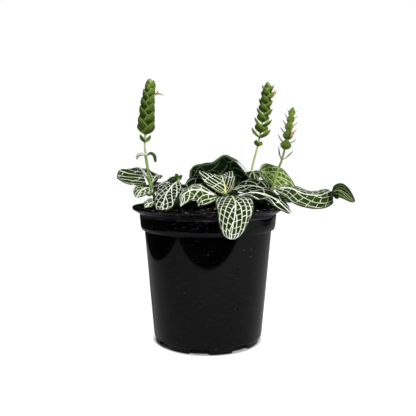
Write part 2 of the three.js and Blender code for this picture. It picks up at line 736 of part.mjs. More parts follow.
const shoots = {
  left_shoot: LEFT_SHOOT,
  rim_shoot: RIM_SHOOT,
  inner_shoot: INNER_SHOOT,
  centre_shoot: CENTRE_SHOOT,
  back_shoot: BACK_SHOOT,
  right_shoot: RIGHT_SHOOT,
  rear_left_shoot: REAR_LEFT_SHOOT,
  rear_right_shoot: REAR_RIGHT_SHOOT,
};

const parts = [
  ['pot', pot(), POT_PLASTIC],
  ['soil', soil(Object.values(shoots)), PEAT],
];
for (const [name, shoot] of Object.entries(shoots)) {
  parts.push([name, leafyShoot(shoot), LEAF_GREEN]);
}
for (const [name, details] of Object.entries(SPIKES)) {
  parts.push([`${name}_flower_spike`, flowerSpike(details), BRACT_GREEN]);
  parts.push([`${name}_dried_flower`, driedFlower(DRIED_FLOWERS[name]), DRIED_TAN]);
}

// The origin lies under the middle of the whole plant
const extent = new THREE.Box3();
for (const [, manifold] of parts) {
  const { min, max } = manifold.boundingBox();
  extent.expandByPoint(vector(min)).expandByPoint(vector(max));
}
const middle = extent.getCenter(new THREE.Vector3());

const plant = new THREE.Group();
for (const [name, manifold, finish] of parts) {
  plant.add(piece(name, manifold.translate(-middle.x, -middle.y, 0), finish));
}

export default plant;
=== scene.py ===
"""Potted nerve plant: the finished surfaces of its leaves, stems, flower spikes, soil and pot.

Numbers in the tables are millimetres from the pot's axis and from the surface that it stands on.
"""

import math

import bpy
import numpy as np
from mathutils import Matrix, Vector, noise


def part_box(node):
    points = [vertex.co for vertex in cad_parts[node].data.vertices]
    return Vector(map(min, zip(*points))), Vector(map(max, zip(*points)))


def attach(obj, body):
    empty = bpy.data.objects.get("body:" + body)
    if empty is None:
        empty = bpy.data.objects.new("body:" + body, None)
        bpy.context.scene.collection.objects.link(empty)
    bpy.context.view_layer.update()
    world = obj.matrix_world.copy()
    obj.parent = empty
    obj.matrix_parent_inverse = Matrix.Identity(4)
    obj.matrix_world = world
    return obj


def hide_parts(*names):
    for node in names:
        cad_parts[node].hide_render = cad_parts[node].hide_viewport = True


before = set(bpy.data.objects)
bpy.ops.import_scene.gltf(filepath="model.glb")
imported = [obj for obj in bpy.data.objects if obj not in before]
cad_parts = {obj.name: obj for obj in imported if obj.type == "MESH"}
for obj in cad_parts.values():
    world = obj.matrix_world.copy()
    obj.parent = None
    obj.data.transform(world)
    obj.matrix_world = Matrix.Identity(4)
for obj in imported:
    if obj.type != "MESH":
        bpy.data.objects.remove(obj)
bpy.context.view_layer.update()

MM = 0.001
pot_low, pot_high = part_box("pot")
POT_AXIS = np.array([(pot_low.x + pot_high.x) / 2, (pot_low.y + pot_high.y) / 2, 0.0])

# The line of every leafy stem, from the soil to its top
STEMS = {
    "left_shoot": [(-37.5, 6, 96), (-39, 5, 102), (-42.4, 4, 115.7), (-44.3, 3, 128.6), (-44.9, 3, 133)],
    "rim_shoot": [(-30.5, -3, 96), (-31, -3.5, 97.5), (-31.5, -4, 98.5)],
    "inner_shoot": [(-22, -4, 96), (-21.7, -5, 105), (-21, -7.5, 113), (-20.6, -7.9, 115.6)],
    "centre_shoot": [(13, -12, 97), (13.2, -12.5, 100), (13, -13, 103), (12.8, -13.5, 105.5)],
    "back_shoot": [(28, 17, 97), (29.3, 18, 105), (31.3, 19.3, 114), (32.8, 20, 121.3)],
    "right_shoot": [(41, -6, 97), (43.5, -5.2, 104), (46.5, -5, 112), (49.8, -5, 123.3)],
    "rear_left_shoot": [(-16, 27, 95), (-16.5, 27.5, 101), (-17, 28, 107)],
    "rear_right_shoot": [(19, 33, 95), (19.3, 33.3, 99), (19.5, 33.5, 103)],
}

# What a leaf is like where the table of leaves does not say otherwise
USUAL_LEAF = dict(
    sides=1, fold=12, curl=30, peak=0.41, waves=(3, 0.8), phase=0, rise=1, small=False, hairy=False,
)

# Every leaf: the start of its petiole on the stem, the way that its upper face looks along the midrib,
# the points that the midrib passes through from base to tip, and half its width. Then, unless they are
# usual: the share of that width on either side, how far its halves fold up and curl down in degrees,
# where along it is widest, the number and height of the waves of its margin and where they begin, and
# how steeply its side veins climb. A pair of numbers is for its two halves. The small ones are folded
# young leaves at a stem's top, and the hairy one has long hairs along its foot
LEAVES = {
    "left_shoot_big": dict(
        start=(-41.4, 4.3, 110.5), faces=[(0.25, -0.7, 0.6), (0.2, -0.55, 0.85)],
        rib=[(-42.7, 4, 111.5), (-45.5, 8.5, 117), (-49, 16, 121.5), (-52.5, 26, 123.5)],
        half=17, sides=(1.2, 0.4), fold=3, curl=6, peak=0.4, waves=(2.5, 0.8), rise=0.5,
    ),
    "left_shoot_right": dict(
        start=(-41.4, 4.3, 110.5), faces=[(-0.2, -0.7, 0.7), (0.2, -0.5, 0.8)],
        rib=[(-40.5, 5.5, 112.5), (-39, 8, 116), (-37.2, 11, 118), (-36.8, 12.8, 118)],
        half=6.8, sides=(1, 0.6), fold=20, peak=0.55,
    ),
    "left_shoot_low": dict(
        start=(-40.8, 4.4, 108), faces=[(-0.1, -0.7, 0.6), (-0.2, -0.9, 0.3)],
        rib=[(-41.5, 0.5, 109), (-44, -5.5, 109), (-47, -10, 107), (-49, -14, 103)],
        half=6.5, fold=5, curl=25, waves=(2.5, 0.6),
    ),
    "left_shoot_rear": dict(
        start=(-40.8, 4.4, 108), faces=[(0, 0.2, 0.95), (-0.2, 0.8, 0.5)],
        rib=[(-41, 9, 109.5), (-43, 18, 112), (-45, 28, 109), (-46, 37, 101)],
        half=9.5,
    ),
    "left_shoot_top_right": dict(
        start=(-44.8, 3, 131.8), faces=[(0, -0.7, 0.7), (0.6, -0.7, 0.2)],
        rib=[(-43.9, 2.8, 132.6), (-41, 2, 134), (-38.3, 1, 132), (-37.5, 0, 127.5)],
        half=1, fold=10, curl=50, peak=0.6, small=True, waves=(0, 0),
    ),
    "left_shoot_top_left": dict(
        start=(-44.8, 3, 131.8), faces=[(0, -0.7, 0.7), (-0.6, -0.7, 0.2)],
        rib=[(-45.8, 2.8, 132.6), (-48, 2, 133.3), (-50.5, 1, 132), (-50.5, 0, 129.5)],
        half=1.1, fold=10, curl=50, small=True, waves=(0, 0),
    ),
    "rim_shoot_front": dict(
        start=(-31, -3.5, 97.5), faces=[(0, -0.5, 0.9)],
        rib=[(-33, -5, 98), (-37, -8.5, 99.5), (-40.5, -12.5, 98.5), (-43, -16, 96)],
        half=5.5, fold=8, curl=20, waves=(2.5, 0.5),
    ),
    "rim_shoot_back": dict(
        start=(-31, -3.5, 97.5), faces=[(0, 0.1, 1)],
        rib=[(-30.5, -1.5, 98.5), (-30, 4, 101), (-30, 11, 100.5), (-30, 17, 97.5)],
        half=5, fold=10, curl=25, waves=(2.5, 0.5),
    ),
    "inner_shoot_net": dict(
        start=(-21, -7.3, 112), faces=[(-0.2, -0.6, 0.7), (-0.15, -0.95, 0.2)],
        rib=[(-20.8, -10, 114), (-24, -19, 111.5), (-28, -29, 105), (-29.5, -38, 96.5)],
        half=7.5, fold=0, peak=0.62, waves=(2.5, 0.7),
    ),
    "inner_shoot_small": dict(
        start=(-21.8, -5, 105), faces=[(-0.2, -0.5, 0.8), (-0.5, -0.8, 0.3)],
        rib=[(-24, -6, 107.5), (-28, -8.5, 111), (-31.5, -11.5, 109), (-35, -15, 104)],
        half=6, fold=6, waves=(3, 0.7),
    ),
    "inner_shoot_back": dict(
        start=(-21, -7.3, 112), faces=[(0, -0.6, 0.8)],
        rib=[(-22.5, -5, 113), (-25, -2, 115.5), (-28, 1, 115.5), (-30, 4, 113)],
        half=4.5, fold=10, curl=50, waves=(2, 0.4),
    ),
    "inner_shoot_rear": dict(
        start=(-21.8, -5, 105), faces=[(0, 0.1, 1)],
        rib=[(-21, -1, 106.5), (-20, 5, 108.5), (-19, 12, 107), (-18, 18, 102)],
        half=7, fold=10, curl=65, waves=(3, 0.7),
    ),
    "inner_shoot_tip_left": dict(
        start=(-20.6, -7.9, 114.6), faces=[(0.3, -0.7, 0.6)],
        rib=[(-20.9, -8, 115.5), (-22, -9, 117.6), (-23, -10, 118.9)],
        half=1.5, fold=20, curl=20, small=True, waves=(0, 0),
    ),
    "inner_shoot_tip_right": dict(
        start=(-20.6, -7.9, 114.6), faces=[(-0.3, -0.7, 0.6)],
        rib=[(-20, -8, 115.5), (-19, -8, 116.9), (-18.2, -9, 117.1)],
        half=1.4, fold=20, curl=20, small=True, waves=(0, 0),
    ),
    "centre_shoot_left": dict(
        start=(13.2, -12.6, 101), faces=[(0, -0.7, 0.7), (-0.5, -0.8, 0.3)],
        rib=[(6, -16, 104), (-6, -19, 108.5), (-15, -24, 106.5), (-18, -31.5, 98)],
        half=10.5, sides=(1.1, 0.65), fold=-4, curl=34, peak=0.38, waves=(2.5, 0.7), phase=0.2,
    ),
    "centre_shoot_front": dict(
        start=(13.1, -12.8, 102), faces=[(0, -0.35, 0.95), (0, -1, 0.1)],
        rib=[(15, -19, 102.5), (15.5, -37, 105), (16.8, -57, 100), (13.8, -60.5, 80.5)],
        half=12, sides=(0.95, 1), fold=3, curl=26, peak=0.54, waves=(3.5, 0.7), rise=1.3,
    ),
    "centre_shoot_young": dict(
        start=(12.9, -13.3, 104.5), faces=[(0.1, -0.95, 0.3), (0, -0.4, 0.9)],
        rib=[(12.5, -14, 105.5), (11.8, -12, 111), (10.6, -8, 115.5), (10, -1.5, 117.5)],
        half=14, sides=(1.25, 0.68), fold=(18, 44), curl=6, peak=(0.8, 0.5), waves=(3, 0.5), rise=1.3,
    ),
    "centre_shoot_dark": dict(
        start=(13.1, -12.8, 102), faces=[(0, -0.7, 0.7), (-0.5, -0.8, 0.2)],
        rib=[(9, -8, 104.5), (1, -5, 111), (-8, -6, 112), (-15.5, -10, 105)],
        half=8.5, fold=6, peak=0.5, waves=(2.5, 0.6),
    ),
    "centre_shoot_right": dict(
        start=(13.2, -12.6, 101), faces=[(0, -0.3, 0.95), (0.5, -0.5, 0.7)],
        rib=[(19.5, -14, 103.5), (30.5, -19, 106.3), (43, -23, 103.5), (55, -28, 93.5)],
        half=11, sides=(1.1, 0.7), curl=36, peak=(0.45, 0.55), waves=(3, 0.7),
    ),
    "back_shoot_dark": dict(
        start=(30.6, 18.9, 111),
        faces=[
            (-0.1, -0.95, 0.1), (-0.2, -0.95, 0.2), (0, -0.9, 0.4), (-0.1, -0.9, 0.35), (-0.4, -0.9, 0),
        ],
        rib=[
            (33.6, 18.5, 113), (28.6, 17.5, 120), (22.8, 15.5, 126.8), (17.5, 13.5, 130),
            (11.6, 12, 132.2), (4, 11, 127), (-4, 9.5, 125.6), (-10, 6, 124.5), (-12.8, 2.5, 119.5),
            (-12.5, 0, 112.5),
        ],
        half=16, sides=(1.5, 0.07), fold=-14, curl=12, peak=(0.4, 0.42), waves=(3, 1), rise=1.5,
        hairy=True,
    ),
    "back_shoot_stripe": dict(
        start=(32.4, 19.8, 119.3), faces=[(0, -0.6, 0.8)],
        rib=[(33, 18, 120.5), (33.5, 15, 120.5), (34, 11.5, 118), (35, 9, 114)],
        half=6.5, fold=8, waves=(3, 0.6),
    ),
    "back_shoot_pale": dict(
        start=(32.4, 19.8, 119.3), faces=[(-0.3, 0.8, -0.5)],
        rib=[(38.5, 20, 120.3), (46, 20, 119.5), (56, 18, 114.5), (66, 16, 105.5)],
        half=9, sides=(1.1, 0.9), fold=5, curl=20, waves=(2.5, 0.6),
    ),
    "back_shoot_rear": dict(
        start=(30, 18.4, 108), faces=[(0.2, 0.1, 0.95), (0.4, 0.5, 0.7)],
        rib=[(33, 23, 110), (39, 30, 113), (46, 36, 110), (51, 42, 101)],
        half=9.5, curl=70,
    ),
    "back_shoot_far": dict(
        start=(31, 19.1, 113), faces=[(-0.1, 0.1, 0.95), (-0.3, 0.7, 0.6)],
        rib=[(29.5, 22, 115), (26, 30, 119), (21, 38, 118), (16, 45, 111)],
        half=10, curl=70,
    ),
    "right_shoot_long": dict(
        start=(45, -5.1, 108),
        faces=7 * [(0, -0.75, 0.66)] + [(0.05, -0.55, 0.8), (0.2, 0.7, 0.6)] + 3 * [(0.2, 0.95, 0.1)],
        rib=[
            (47.5, -4, 109), (58, -5, 109), (68, -7, 105), (78, -8, 104.2), (86, -9.5, 107),
            (93, -11, 107.5), (102, -12, 100),
        ],
        half=9, sides=(0.8, 1.05), fold=-18, curl=15, peak=(0.48, 0.41), waves=(2.5, 0.5),
    ),
    "right_shoot_left": dict(
        start=(45, -5.1, 108), faces=[(0, -0.85, 0.5)],
        rib=[(43, -4, 108), (37, 1, 109.5), (29, 5, 110.5), (18.5, 6, 107.5)],
        half=6.5, fold=8, curl=25, waves=(3, 0.6),
    ),
    "right_shoot_rear": dict(
        start=(43.6, -5.2, 104), faces=[(0.1, 0.1, 0.95), (0.4, 0.4, 0.7)],
        rib=[(45.5, -1, 103.5), (51, 8, 103.5), (57, 17, 101.5), (61, 25, 97)],
        half=8, curl=65,
    ),
    "rear_left_shoot_left": dict(
        start=(-16.8, 27.8, 104), faces=[(-0.1, 0.1, 0.95), (-0.4, 0.4, 0.8)],
        rib=[(-19.5, 29, 106), (-26, 33, 108.5), (-32.5, 39.5, 105), (-37, 46, 98)],
        half=9,
    ),
    "rear_left_shoot_right": dict(
        start=(-16.8, 27.8, 104), faces=[(0, 0, 1), (0.3, 0.2, 0.9)],
        rib=[(-14, 28, 106), (-7, 27, 109.5), (2, 27, 108.5), (10, 28, 102.5)],
        half=8.5,
    ),
    "rear_left_shoot_over": dict(
        start=(-17, 28, 106), faces=[(0, 0.3, 0.95), (-0.1, 0.95, 0.3)],
        rib=[(-17.5, 31, 107.5), (-18.5, 42, 109.5), (-20.5, 55, 103.5), (-21.5, 61, 90.5)],
        half=10.5, fold=5,
    ),
    "rear_left_shoot_front": dict(
        start=(-17, 28, 106), faces=[(0, -0.2, 1), (0, -0.5, 0.8)],
        rib=[(-17, 26, 107.5), (-13, 20, 111), (-10, 14, 111), (-8, 8, 108)],
        half=7, fold=15, curl=25, waves=(3, 0.7),
    ),
    "rear_right_shoot_right": dict(
        start=(19.3, 33.4, 100.5), faces=[(0.1, 0.1, 0.95), (0.3, 0.6, 0.7)],
        rib=[(22, 34.5, 101.5), (29, 40, 103), (35, 47, 100.5), (39, 54, 94)],
        half=8, fold=10, waves=(3, 0.7),
    ),
    "rear_right_shoot_over": dict(
        start=(19.4, 33.5, 102), faces=[(0, 0.3, 0.95), (-0.1, 0.95, 0.3)],
        rib=[(19, 36.5, 103.5), (16, 45, 106), (11, 56, 101.5), (7, 62, 88.5)],
        half=10.5, fold=5,
    ),
    "rear_right_shoot_left": dict(
        start=(19.3, 33.4, 100.5), faces=[(-0.1, 0.1, 0.95), (-0.3, 0.6, 0.7)],
        rib=[(16, 34.5, 101.5), (9, 37.5, 102), (1, 42, 100), (-5, 47, 96.5)],
        half=7, fold=10, curl=25, waves=(3, 0.6),
    ),
}

# The usual look of a leaf: how dark it is, where a depth near 1 is a painted shade of nearly black, how
# white its net and the foot of its midrib are, how cream its midrib and the veins near its base are, how
# wide its veins and its midrib are, how far painted shade darkens its underside, and how far apart its side
# veins and its cross veins are
USUAL_LOOK = dict(
    depth=0.6, net=1.0, foot=0.0, cream=0.15, veins=1.0, midrib=1.0, under=0.0, spread=1.0, cells=1.0,
)

# What looks different on some leaves; a depth near 1 and an under value are painted shade
LEAF_LOOKS = {
    "back_shoot_dark": dict(depth=1.0, net=0.04, foot=1.0, veins=0.6, midrib=0.6, under=1.0, cells=2.5),
    "back_shoot_stripe": dict(depth=0.65, net=0.6, veins=0.5, midrib=0.3, spread=2.2, cells=4.0),
    "back_shoot_pale": dict(veins=0.9, spread=1.5, cells=1.3),
    "centre_shoot_dark": dict(depth=1.0, net=0.5, veins=0.6, midrib=0.5, spread=1.8, cells=2.0),
    "centre_shoot_young": dict(cream=1.0, veins=1.15, spread=1.1, cells=2.0),
    "centre_shoot_front": dict(depth=0.55, cream=1.0, spread=1.1, cells=1.1, midrib=0.6),
    "centre_shoot_left": dict(depth=0.15, veins=1.2, midrib=0.6, spread=1.1, cells=2.0),
    "centre_shoot_right": dict(depth=0.85, veins=0.95, midrib=1.6, spread=2.3, cells=3.5),
    "left_shoot_low": dict(depth=0.2, net=0.85, veins=0.8, spread=1.4, cells=1.4),
    "left_shoot_right": dict(depth=0.8, net=0.7, veins=0.6, midrib=0.6, spread=1.8, cells=1.8),
    "left_shoot_top_left": dict(depth=0.0, net=0.6),
    "left_shoot_top_right": dict(depth=0.5, net=0.0),
    "left_shoot_big": dict(depth=0.5, cream=0.0, midrib=2.2, veins=0.8, spread=0.8, cells=3.0),
    "inner_shoot_net": dict(depth=0.75, cream=0.0, veins=0.95, midrib=0.6, spread=1.4, cells=1.3),
    "inner_shoot_back": dict(depth=1.0, net=0.0),
    "inner_shoot_small": dict(depth=0.9, veins=0.8, spread=1.6, cells=1.6),
    "inner_shoot_tip_left": dict(depth=0.0, net=0.0),
    "inner_shoot_tip_right": dict(depth=0.0, net=0.0),
    "right_shoot_long": dict(
        depth=0.35, cream=0.0, veins=0.57, midrib=0.3, under=0.8, spread=1.15, cells=1.7,
    ),
    "right_shoot_left": dict(depth=0.9, net=0.7, veins=0.5, midrib=0.5, spread=1.8, cells=3.0),
    "rim_shoot_front": dict(depth=0.3, spread=1.5, cells=1.5),
}

# Every spike: the line of its stalk, where on it the lowest pair of bracts and the next pair grow, the
# number of crossed pairs and their turn in degrees, the radius of its bud, the size of the lowest pair,
# how far painted shade darkens its bracts, and the length, width and spread in degrees of the lower and
# upper bracts. Bristles have the same numbers, where they take the place of every second pair, and the
# spread of their first pair
SPIKES = {
    "left": dict(
        stalk=[(-44.9, 3, 133.6), (-45.3, 3, 139.8), (-44.5, 2.5, 151), (-42.9, 1.5, 167), (-41, 0, 180)],
        start=(0.17, 0.29), pairs=13, turn=45, bud=2.6, lowest=0.6, shade=0.4,
        length=(12.5, 8.5), width=(9, 6.6), spread=(42, 23),
    ),
    "middle": dict(
        stalk=[(32.9, 20, 121.7), (35, 20, 131), (37.6, 20, 141), (41.6, 20, 163), (44.4, 20, 182)],
        start=(0.3, 0.4), pairs=13, turn=60, bud=2.2, lowest=0.6, shade=0,
        length=(11, 7.5), width=(8.4, 6), spread=(49, 36),
    ),
    "right": dict(
        stalk=[(50, -5, 123.7), (52.4, -5, 130.4), (54.8, -5, 141), (56.8, -5, 152), (58.5, -5, 161.5)],
        start=(0.14, 0.34), pairs=11, turn=4, bud=1.5, lowest=1.1, shade=1,
        length=(8.4, 7), width=(7.6, 4.4), spread=(28, 12),
        bristles=dict(length=(9.5, 5.5), width=(3, 1.4), spread=(50, 50), first=30),
    ),
}

# Every dried flower: the lines of its wilted tube and of the strand that forks from it
DRIED_FLOWERS = {
    "left": [
        [(-39.8, 0, 172.8), (-38.3, 0, 174.1), (-36.6, 0, 175.6), (-34.7, 0, 178.1)],
        [(-37.4, 0, 174.9), (-34.3, -0.5, 175.6), (-31.3, -1, 174.2)],
    ],
    "middle": [
        [(46.5, 18.5, 174), (48, 18.5, 175.9), (49.6, 18.3, 178), (51.1, 18, 180.4)],
        [(48.3, 18.5, 176.4), (49, 18.2, 179), (49.3, 17.5, 181)],
    ],
    "right": [
        [(56.9, -9.2, 142.6), (57.5, -10, 145.5), (57.8, -10.5, 149), (58.2, -10, 153.4)],
        [(57.4, -10, 145), (59, -11, 147), (60, -11, 149.5)],
    ],
}

# Leaves: the thickness of a blade, the part of its length between two side veins, how high it swells
# between its veins and how uneven it is, and how deep the keel under its midrib sits
BLADE_THICKNESS = 0.5
LATERAL_SPACING = 0.19
QUILT_HEIGHT = 0.16
UNEVENNESS = 0.35
KEEL_DEPTH = 0.38

# Stems and bracts
STEM_RADIUS = 1.1
PETIOLE_RADIUS = 0.75
SMALL_PETIOLE_RADIUS = 0.5
KNUCKLE_RADIUS = 1.55
STALK_RADIUS = 0.75
STEM_FOOT = 87.0
BRACT_THICKNESS = 0.3

# Hairs: their thickness, and the number and greatest length of those on a stem, a petiole and a hairy foot
STEM_HAIR = 0.035
BRACT_HAIR = 0.014
STEM_COAT = (260, 1.0)
PETIOLE_COAT = (40, 1.0)
HAIRY_FOOT_COAT = (260, 3.5)

# Soil: the radius of its edge, the height of the surface there, and the height where its side begins
SOIL_RADIUS = 47.0
SOIL_EDGE = 91.5
SOIL_SIDE_TOP = 90.5


# Handling of pieces

def placed(points):
    """Millimetres from the pot's axis, as metres in the shared frame."""
    return np.asarray(points, float) * MM + POT_AXIS


def pick(*chosen):
    """Selects these pieces alone, the first as the active one."""
    bpy.ops.object.select_all(action="DESELECT")
    for piece in chosen:
        piece.select_set(True)
    bpy.context.view_layer.objects.active = chosen[0]


def called(name):
    """Names the piece that was just added."""
    piece = bpy.context.object
    piece.name = piece.data.name = name
    return piece


def corners(piece):
    """The corners of a piece, a row for each."""
    flat = np.empty(len(piece.data.vertices) * 3)
    piece.data.vertices.foreach_get("co", flat)
    return flat.reshape(-1, 3)


def set_corners(piece, points):
    piece.data.vertices.foreach_set("co", np.asarray(points, float).ravel())
    piece.data.update()


def paint(piece, **fields):
    """Keeps numbers at the corners of a piece, for its material to read."""
    for field, values in fields.items():
        layer = piece.data.attributes.get(field) or piece.data.attributes.new(field, "FLOAT", "POINT")
        values = np.broadcast_to(values, len(piece.data.vertices)).astype(np.float32)
        layer.data.foreach_set("value", values)


def worked(piece, kind, **settings):
    """Puts a modifier on a piece and applies it."""
    pick(piece)
    modifier = piece.modifiers.new(kind.title(), kind)
    for setting, value in settings.items():
        setattr(modifier, setting, value)
    bpy.ops.object.modifier_apply(modifier=modifier.name)


def joined(name, pieces):
    pick(*pieces)
    bpy.ops.object.join()
    return called(name)


def copied(piece, name):
    """A copy with its own mesh."""
    twin = piece.copy()
    twin.data = piece.data.copy()
    twin.name = twin.data.name = name
    bpy.context.scene.collection.objects.link(twin)
    return twin


def discarded(piece):
    """Takes a piece away, with its mesh."""
    mesh = piece.data
    bpy.data.objects.remove(piece)
    bpy.data.meshes.remove(mesh)


def pattern():
    """The corners and faces of the form that was just added, which is taken away again."""
    piece = bpy.context.object
    form, faces = corners(piece), [list(face.vertices) for face in piece.data.polygons]
    discarded(piece)
    return form, faces


def many(name, points, faces):
    """One piece of many copies of a pattern: points has the corners of every copy, in millimetres."""
    copies, size = points.shape[:2]
    every = [[corner + size * k for corner in face] for k in range(copies) for face in faces]
    mesh = bpy.data.meshes.new(name)
    mesh.from_pydata(placed(points.reshape(-1, 3)).tolist(), [], every)
    piece = bpy.data.objects.new(name, mesh)
    bpy.context.scene.collection.objects.link(piece)
    return piece


def editing(on):
    """Opens the active piece for work on its corners and faces, or closes it."""
    bpy.ops.object.mode_set(mode="EDIT" if on else "OBJECT")


def rings_drawn(stations):
    """Extrudes the chosen ring round the pot's axis, from one radius and height to the next."""
    for (last, level), (radius, height) in zip(stations, stations[1:]):
        bpy.ops.mesh.extrude_region_move(TRANSFORM_OT_translate={"value": (0, 0, (height - level) * MM)})
        centre = POT_AXIS + (0, 0, height * MM)
        bpy.ops.transform.resize(value=(radius / last, radius / last, 1), center_override=centre)


def faces_outward():
    """Turns all faces of the open piece to its outside."""
    bpy.ops.mesh.select_all(action="SELECT")
    bpy.ops.mesh.normals_make_consistent(inside=False)


def settled(piece, node, finish=None, angle=50):
    """A piece gets its finish, unless it has one, and takes its place in the object."""
    pick(piece)
    bpy.ops.object.transform_apply()
    bpy.ops.object.shade_smooth_by_angle(angle=math.radians(angle))
    if finish:
        piece.data.materials.clear()
        piece.data.materials.append(finish)
    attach(piece, "root")
    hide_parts(node)


def grain(points, size, seed=0.0):
    """Smooth noise about zero at points in millimetres."""
    shift = Vector((seed, 0.37 * seed, 1.7 * seed))
    return np.array([noise.noise(Vector(point) / size + shift) for point in points])


# Lines

def smooth_line(points, t):
    """Points at t on a smooth line through the given ones."""
    inner = np.asarray(points, float)
    knots = np.vstack([2 * inner[0] - inner[1], inner, 2 * inner[-1] - inner[-2]])
    spans = len(knots) - 3
    x = np.clip(np.asarray(t, float), 0, 1) * spans
    k = np.minimum(np.floor(x).astype(int), spans - 1)
    u = (x - k)[..., None]
    a, b, c, d = knots[k], knots[k + 1], knots[k + 2], knots[k + 3]
    return 0.5 * (2 * b + (c - a) * u + (2 * a - 5 * b + 4 * c - d) * u**2 + (3 * b - a - 3 * c + d) * u**3)


def unit(vectors):
    return vectors / np.linalg.norm(vectors, axis=-1, keepdims=True)


def line_length(points):
    line = smooth_line(points, np.linspace(0, 1, 200))
    return np.linalg.norm(np.diff(line, axis=0), axis=1).sum()


def at_distance(points, part):
    """The point at a part of the line's length, and the line's direction there."""
    t = np.linspace(0, 1, 400)
    line = smooth_line(points, t)
    run = np.concatenate([[0], np.cumsum(np.linalg.norm(np.diff(line, axis=0), axis=1))])
    found = np.interp(part * run[-1], run, t)
    step = 0.002
    ahead, behind = smooth_line(points, found + step), smooth_line(points, found - step)
    return smooth_line(points, found), unit(ahead - behind)


def between(rows, places):
    """Rows of numbers read between each other, at places counted in rows."""
    index = np.arange(len(rows))
    return np.stack([np.interp(places, index, column) for column in np.transpose(rows)], axis=1)


def upright_turn(angle):
    """The turn by an angle about an upright axis."""
    cosine, sine = math.cos(angle), math.sin(angle)
    return np.array([[cosine, -sine, 0], [sine, cosine, 0], [0, 0, 1]])


def mix(a, b, t):
    """A value on the way from a, where t is 0, to b, where t is 1."""
    return a + (b - a) * t


def tube(name, points, radii):
    """A round tube along points, in millimetres."""
    bpy.ops.curve.primitive_bezier_curve_add()
    path = called(name)
    curve = path.data
    curve.splines.clear()
    spline = curve.splines.new("POLY")
    spline.points.add(len(points) - 1)
    for knot, point, radius in zip(spline.points, placed(points), np.broadcast_to(radii, len(points))):
        knot.co = (*point, 1)
        knot.radius = radius
    curve.dimensions = "3D"
    curve.bevel_depth = MM
    curve.bevel_resolution = 3
    curve.use_fill_caps = True
    pick(path)
    bpy.ops.object.convert(target="MESH")
    return called(name)


def hair_coat(name, roots, ways, lengths, thickness):
    """Fine hairs, copies of one slim cone."""
    bpy.ops.mesh.primitive_cone_add(vertices=3, radius1=1, radius2=0, depth=1)
    cone, faces = pattern()
    shape = cone + (0, 0, 0.5)
    ways = unit(ways)
    side = unit(np.cross(ways, np.where(np.abs(ways[:, 2:]) < 0.9, (0, 0, 1.0), (1.0, 0, 0))))
    other = np.cross(ways, side)
    points = (
        roots[:, None]
        + thickness * shape[None, :, :1] * side[:, None]
        + thickness * shape[None, :, 1:2] * other[:, None]
        + lengths[:, None, None] * shape[None, :, 2:] * ways[:, None]
    )
    return many(name, points, faces)


# Materials

def reckoned(operation, turned=False):
    """A step of reckoning with a value and others, which a turned one takes in the reverse order."""
    def result(field, *others):
        values = (field, *others)
        if turned:
            values = values[::-1]
        return field.finish.node("ShaderNodeMath", {"operation": operation}, dict(enumerate(values)))
    return result


class Field:
    """A value that varies over a surface, and that can be reckoned with."""

    def __init__(self, finish, socket):
        self.finish = finish
        self.socket = socket

    __add__ = __radd__ = reckoned("ADD")
    __mul__ = __rmul__ = reckoned("MULTIPLY")
    __sub__ = reckoned("SUBTRACT")
    __rsub__ = reckoned("SUBTRACT", turned=True)
    __truediv__ = reckoned("DIVIDE")
    __abs__ = reckoned("ABSOLUTE")
    fraction = reckoned("FRACT")
    whole = reckoned("FLOOR")
    larger = reckoned("MAXIMUM")

    def step(self, low, high, start=0.0, end=1.0):
        """Start below low, end above high, and smooth between them."""
        settings = {"interpolation_type": "SMOOTHSTEP"}
        values = {"Value": self, "From Min": low, "From Max": high, "To Min": start, "To Max": end}
        return self.finish.node("ShaderNodeMapRange", settings, values, "Result")


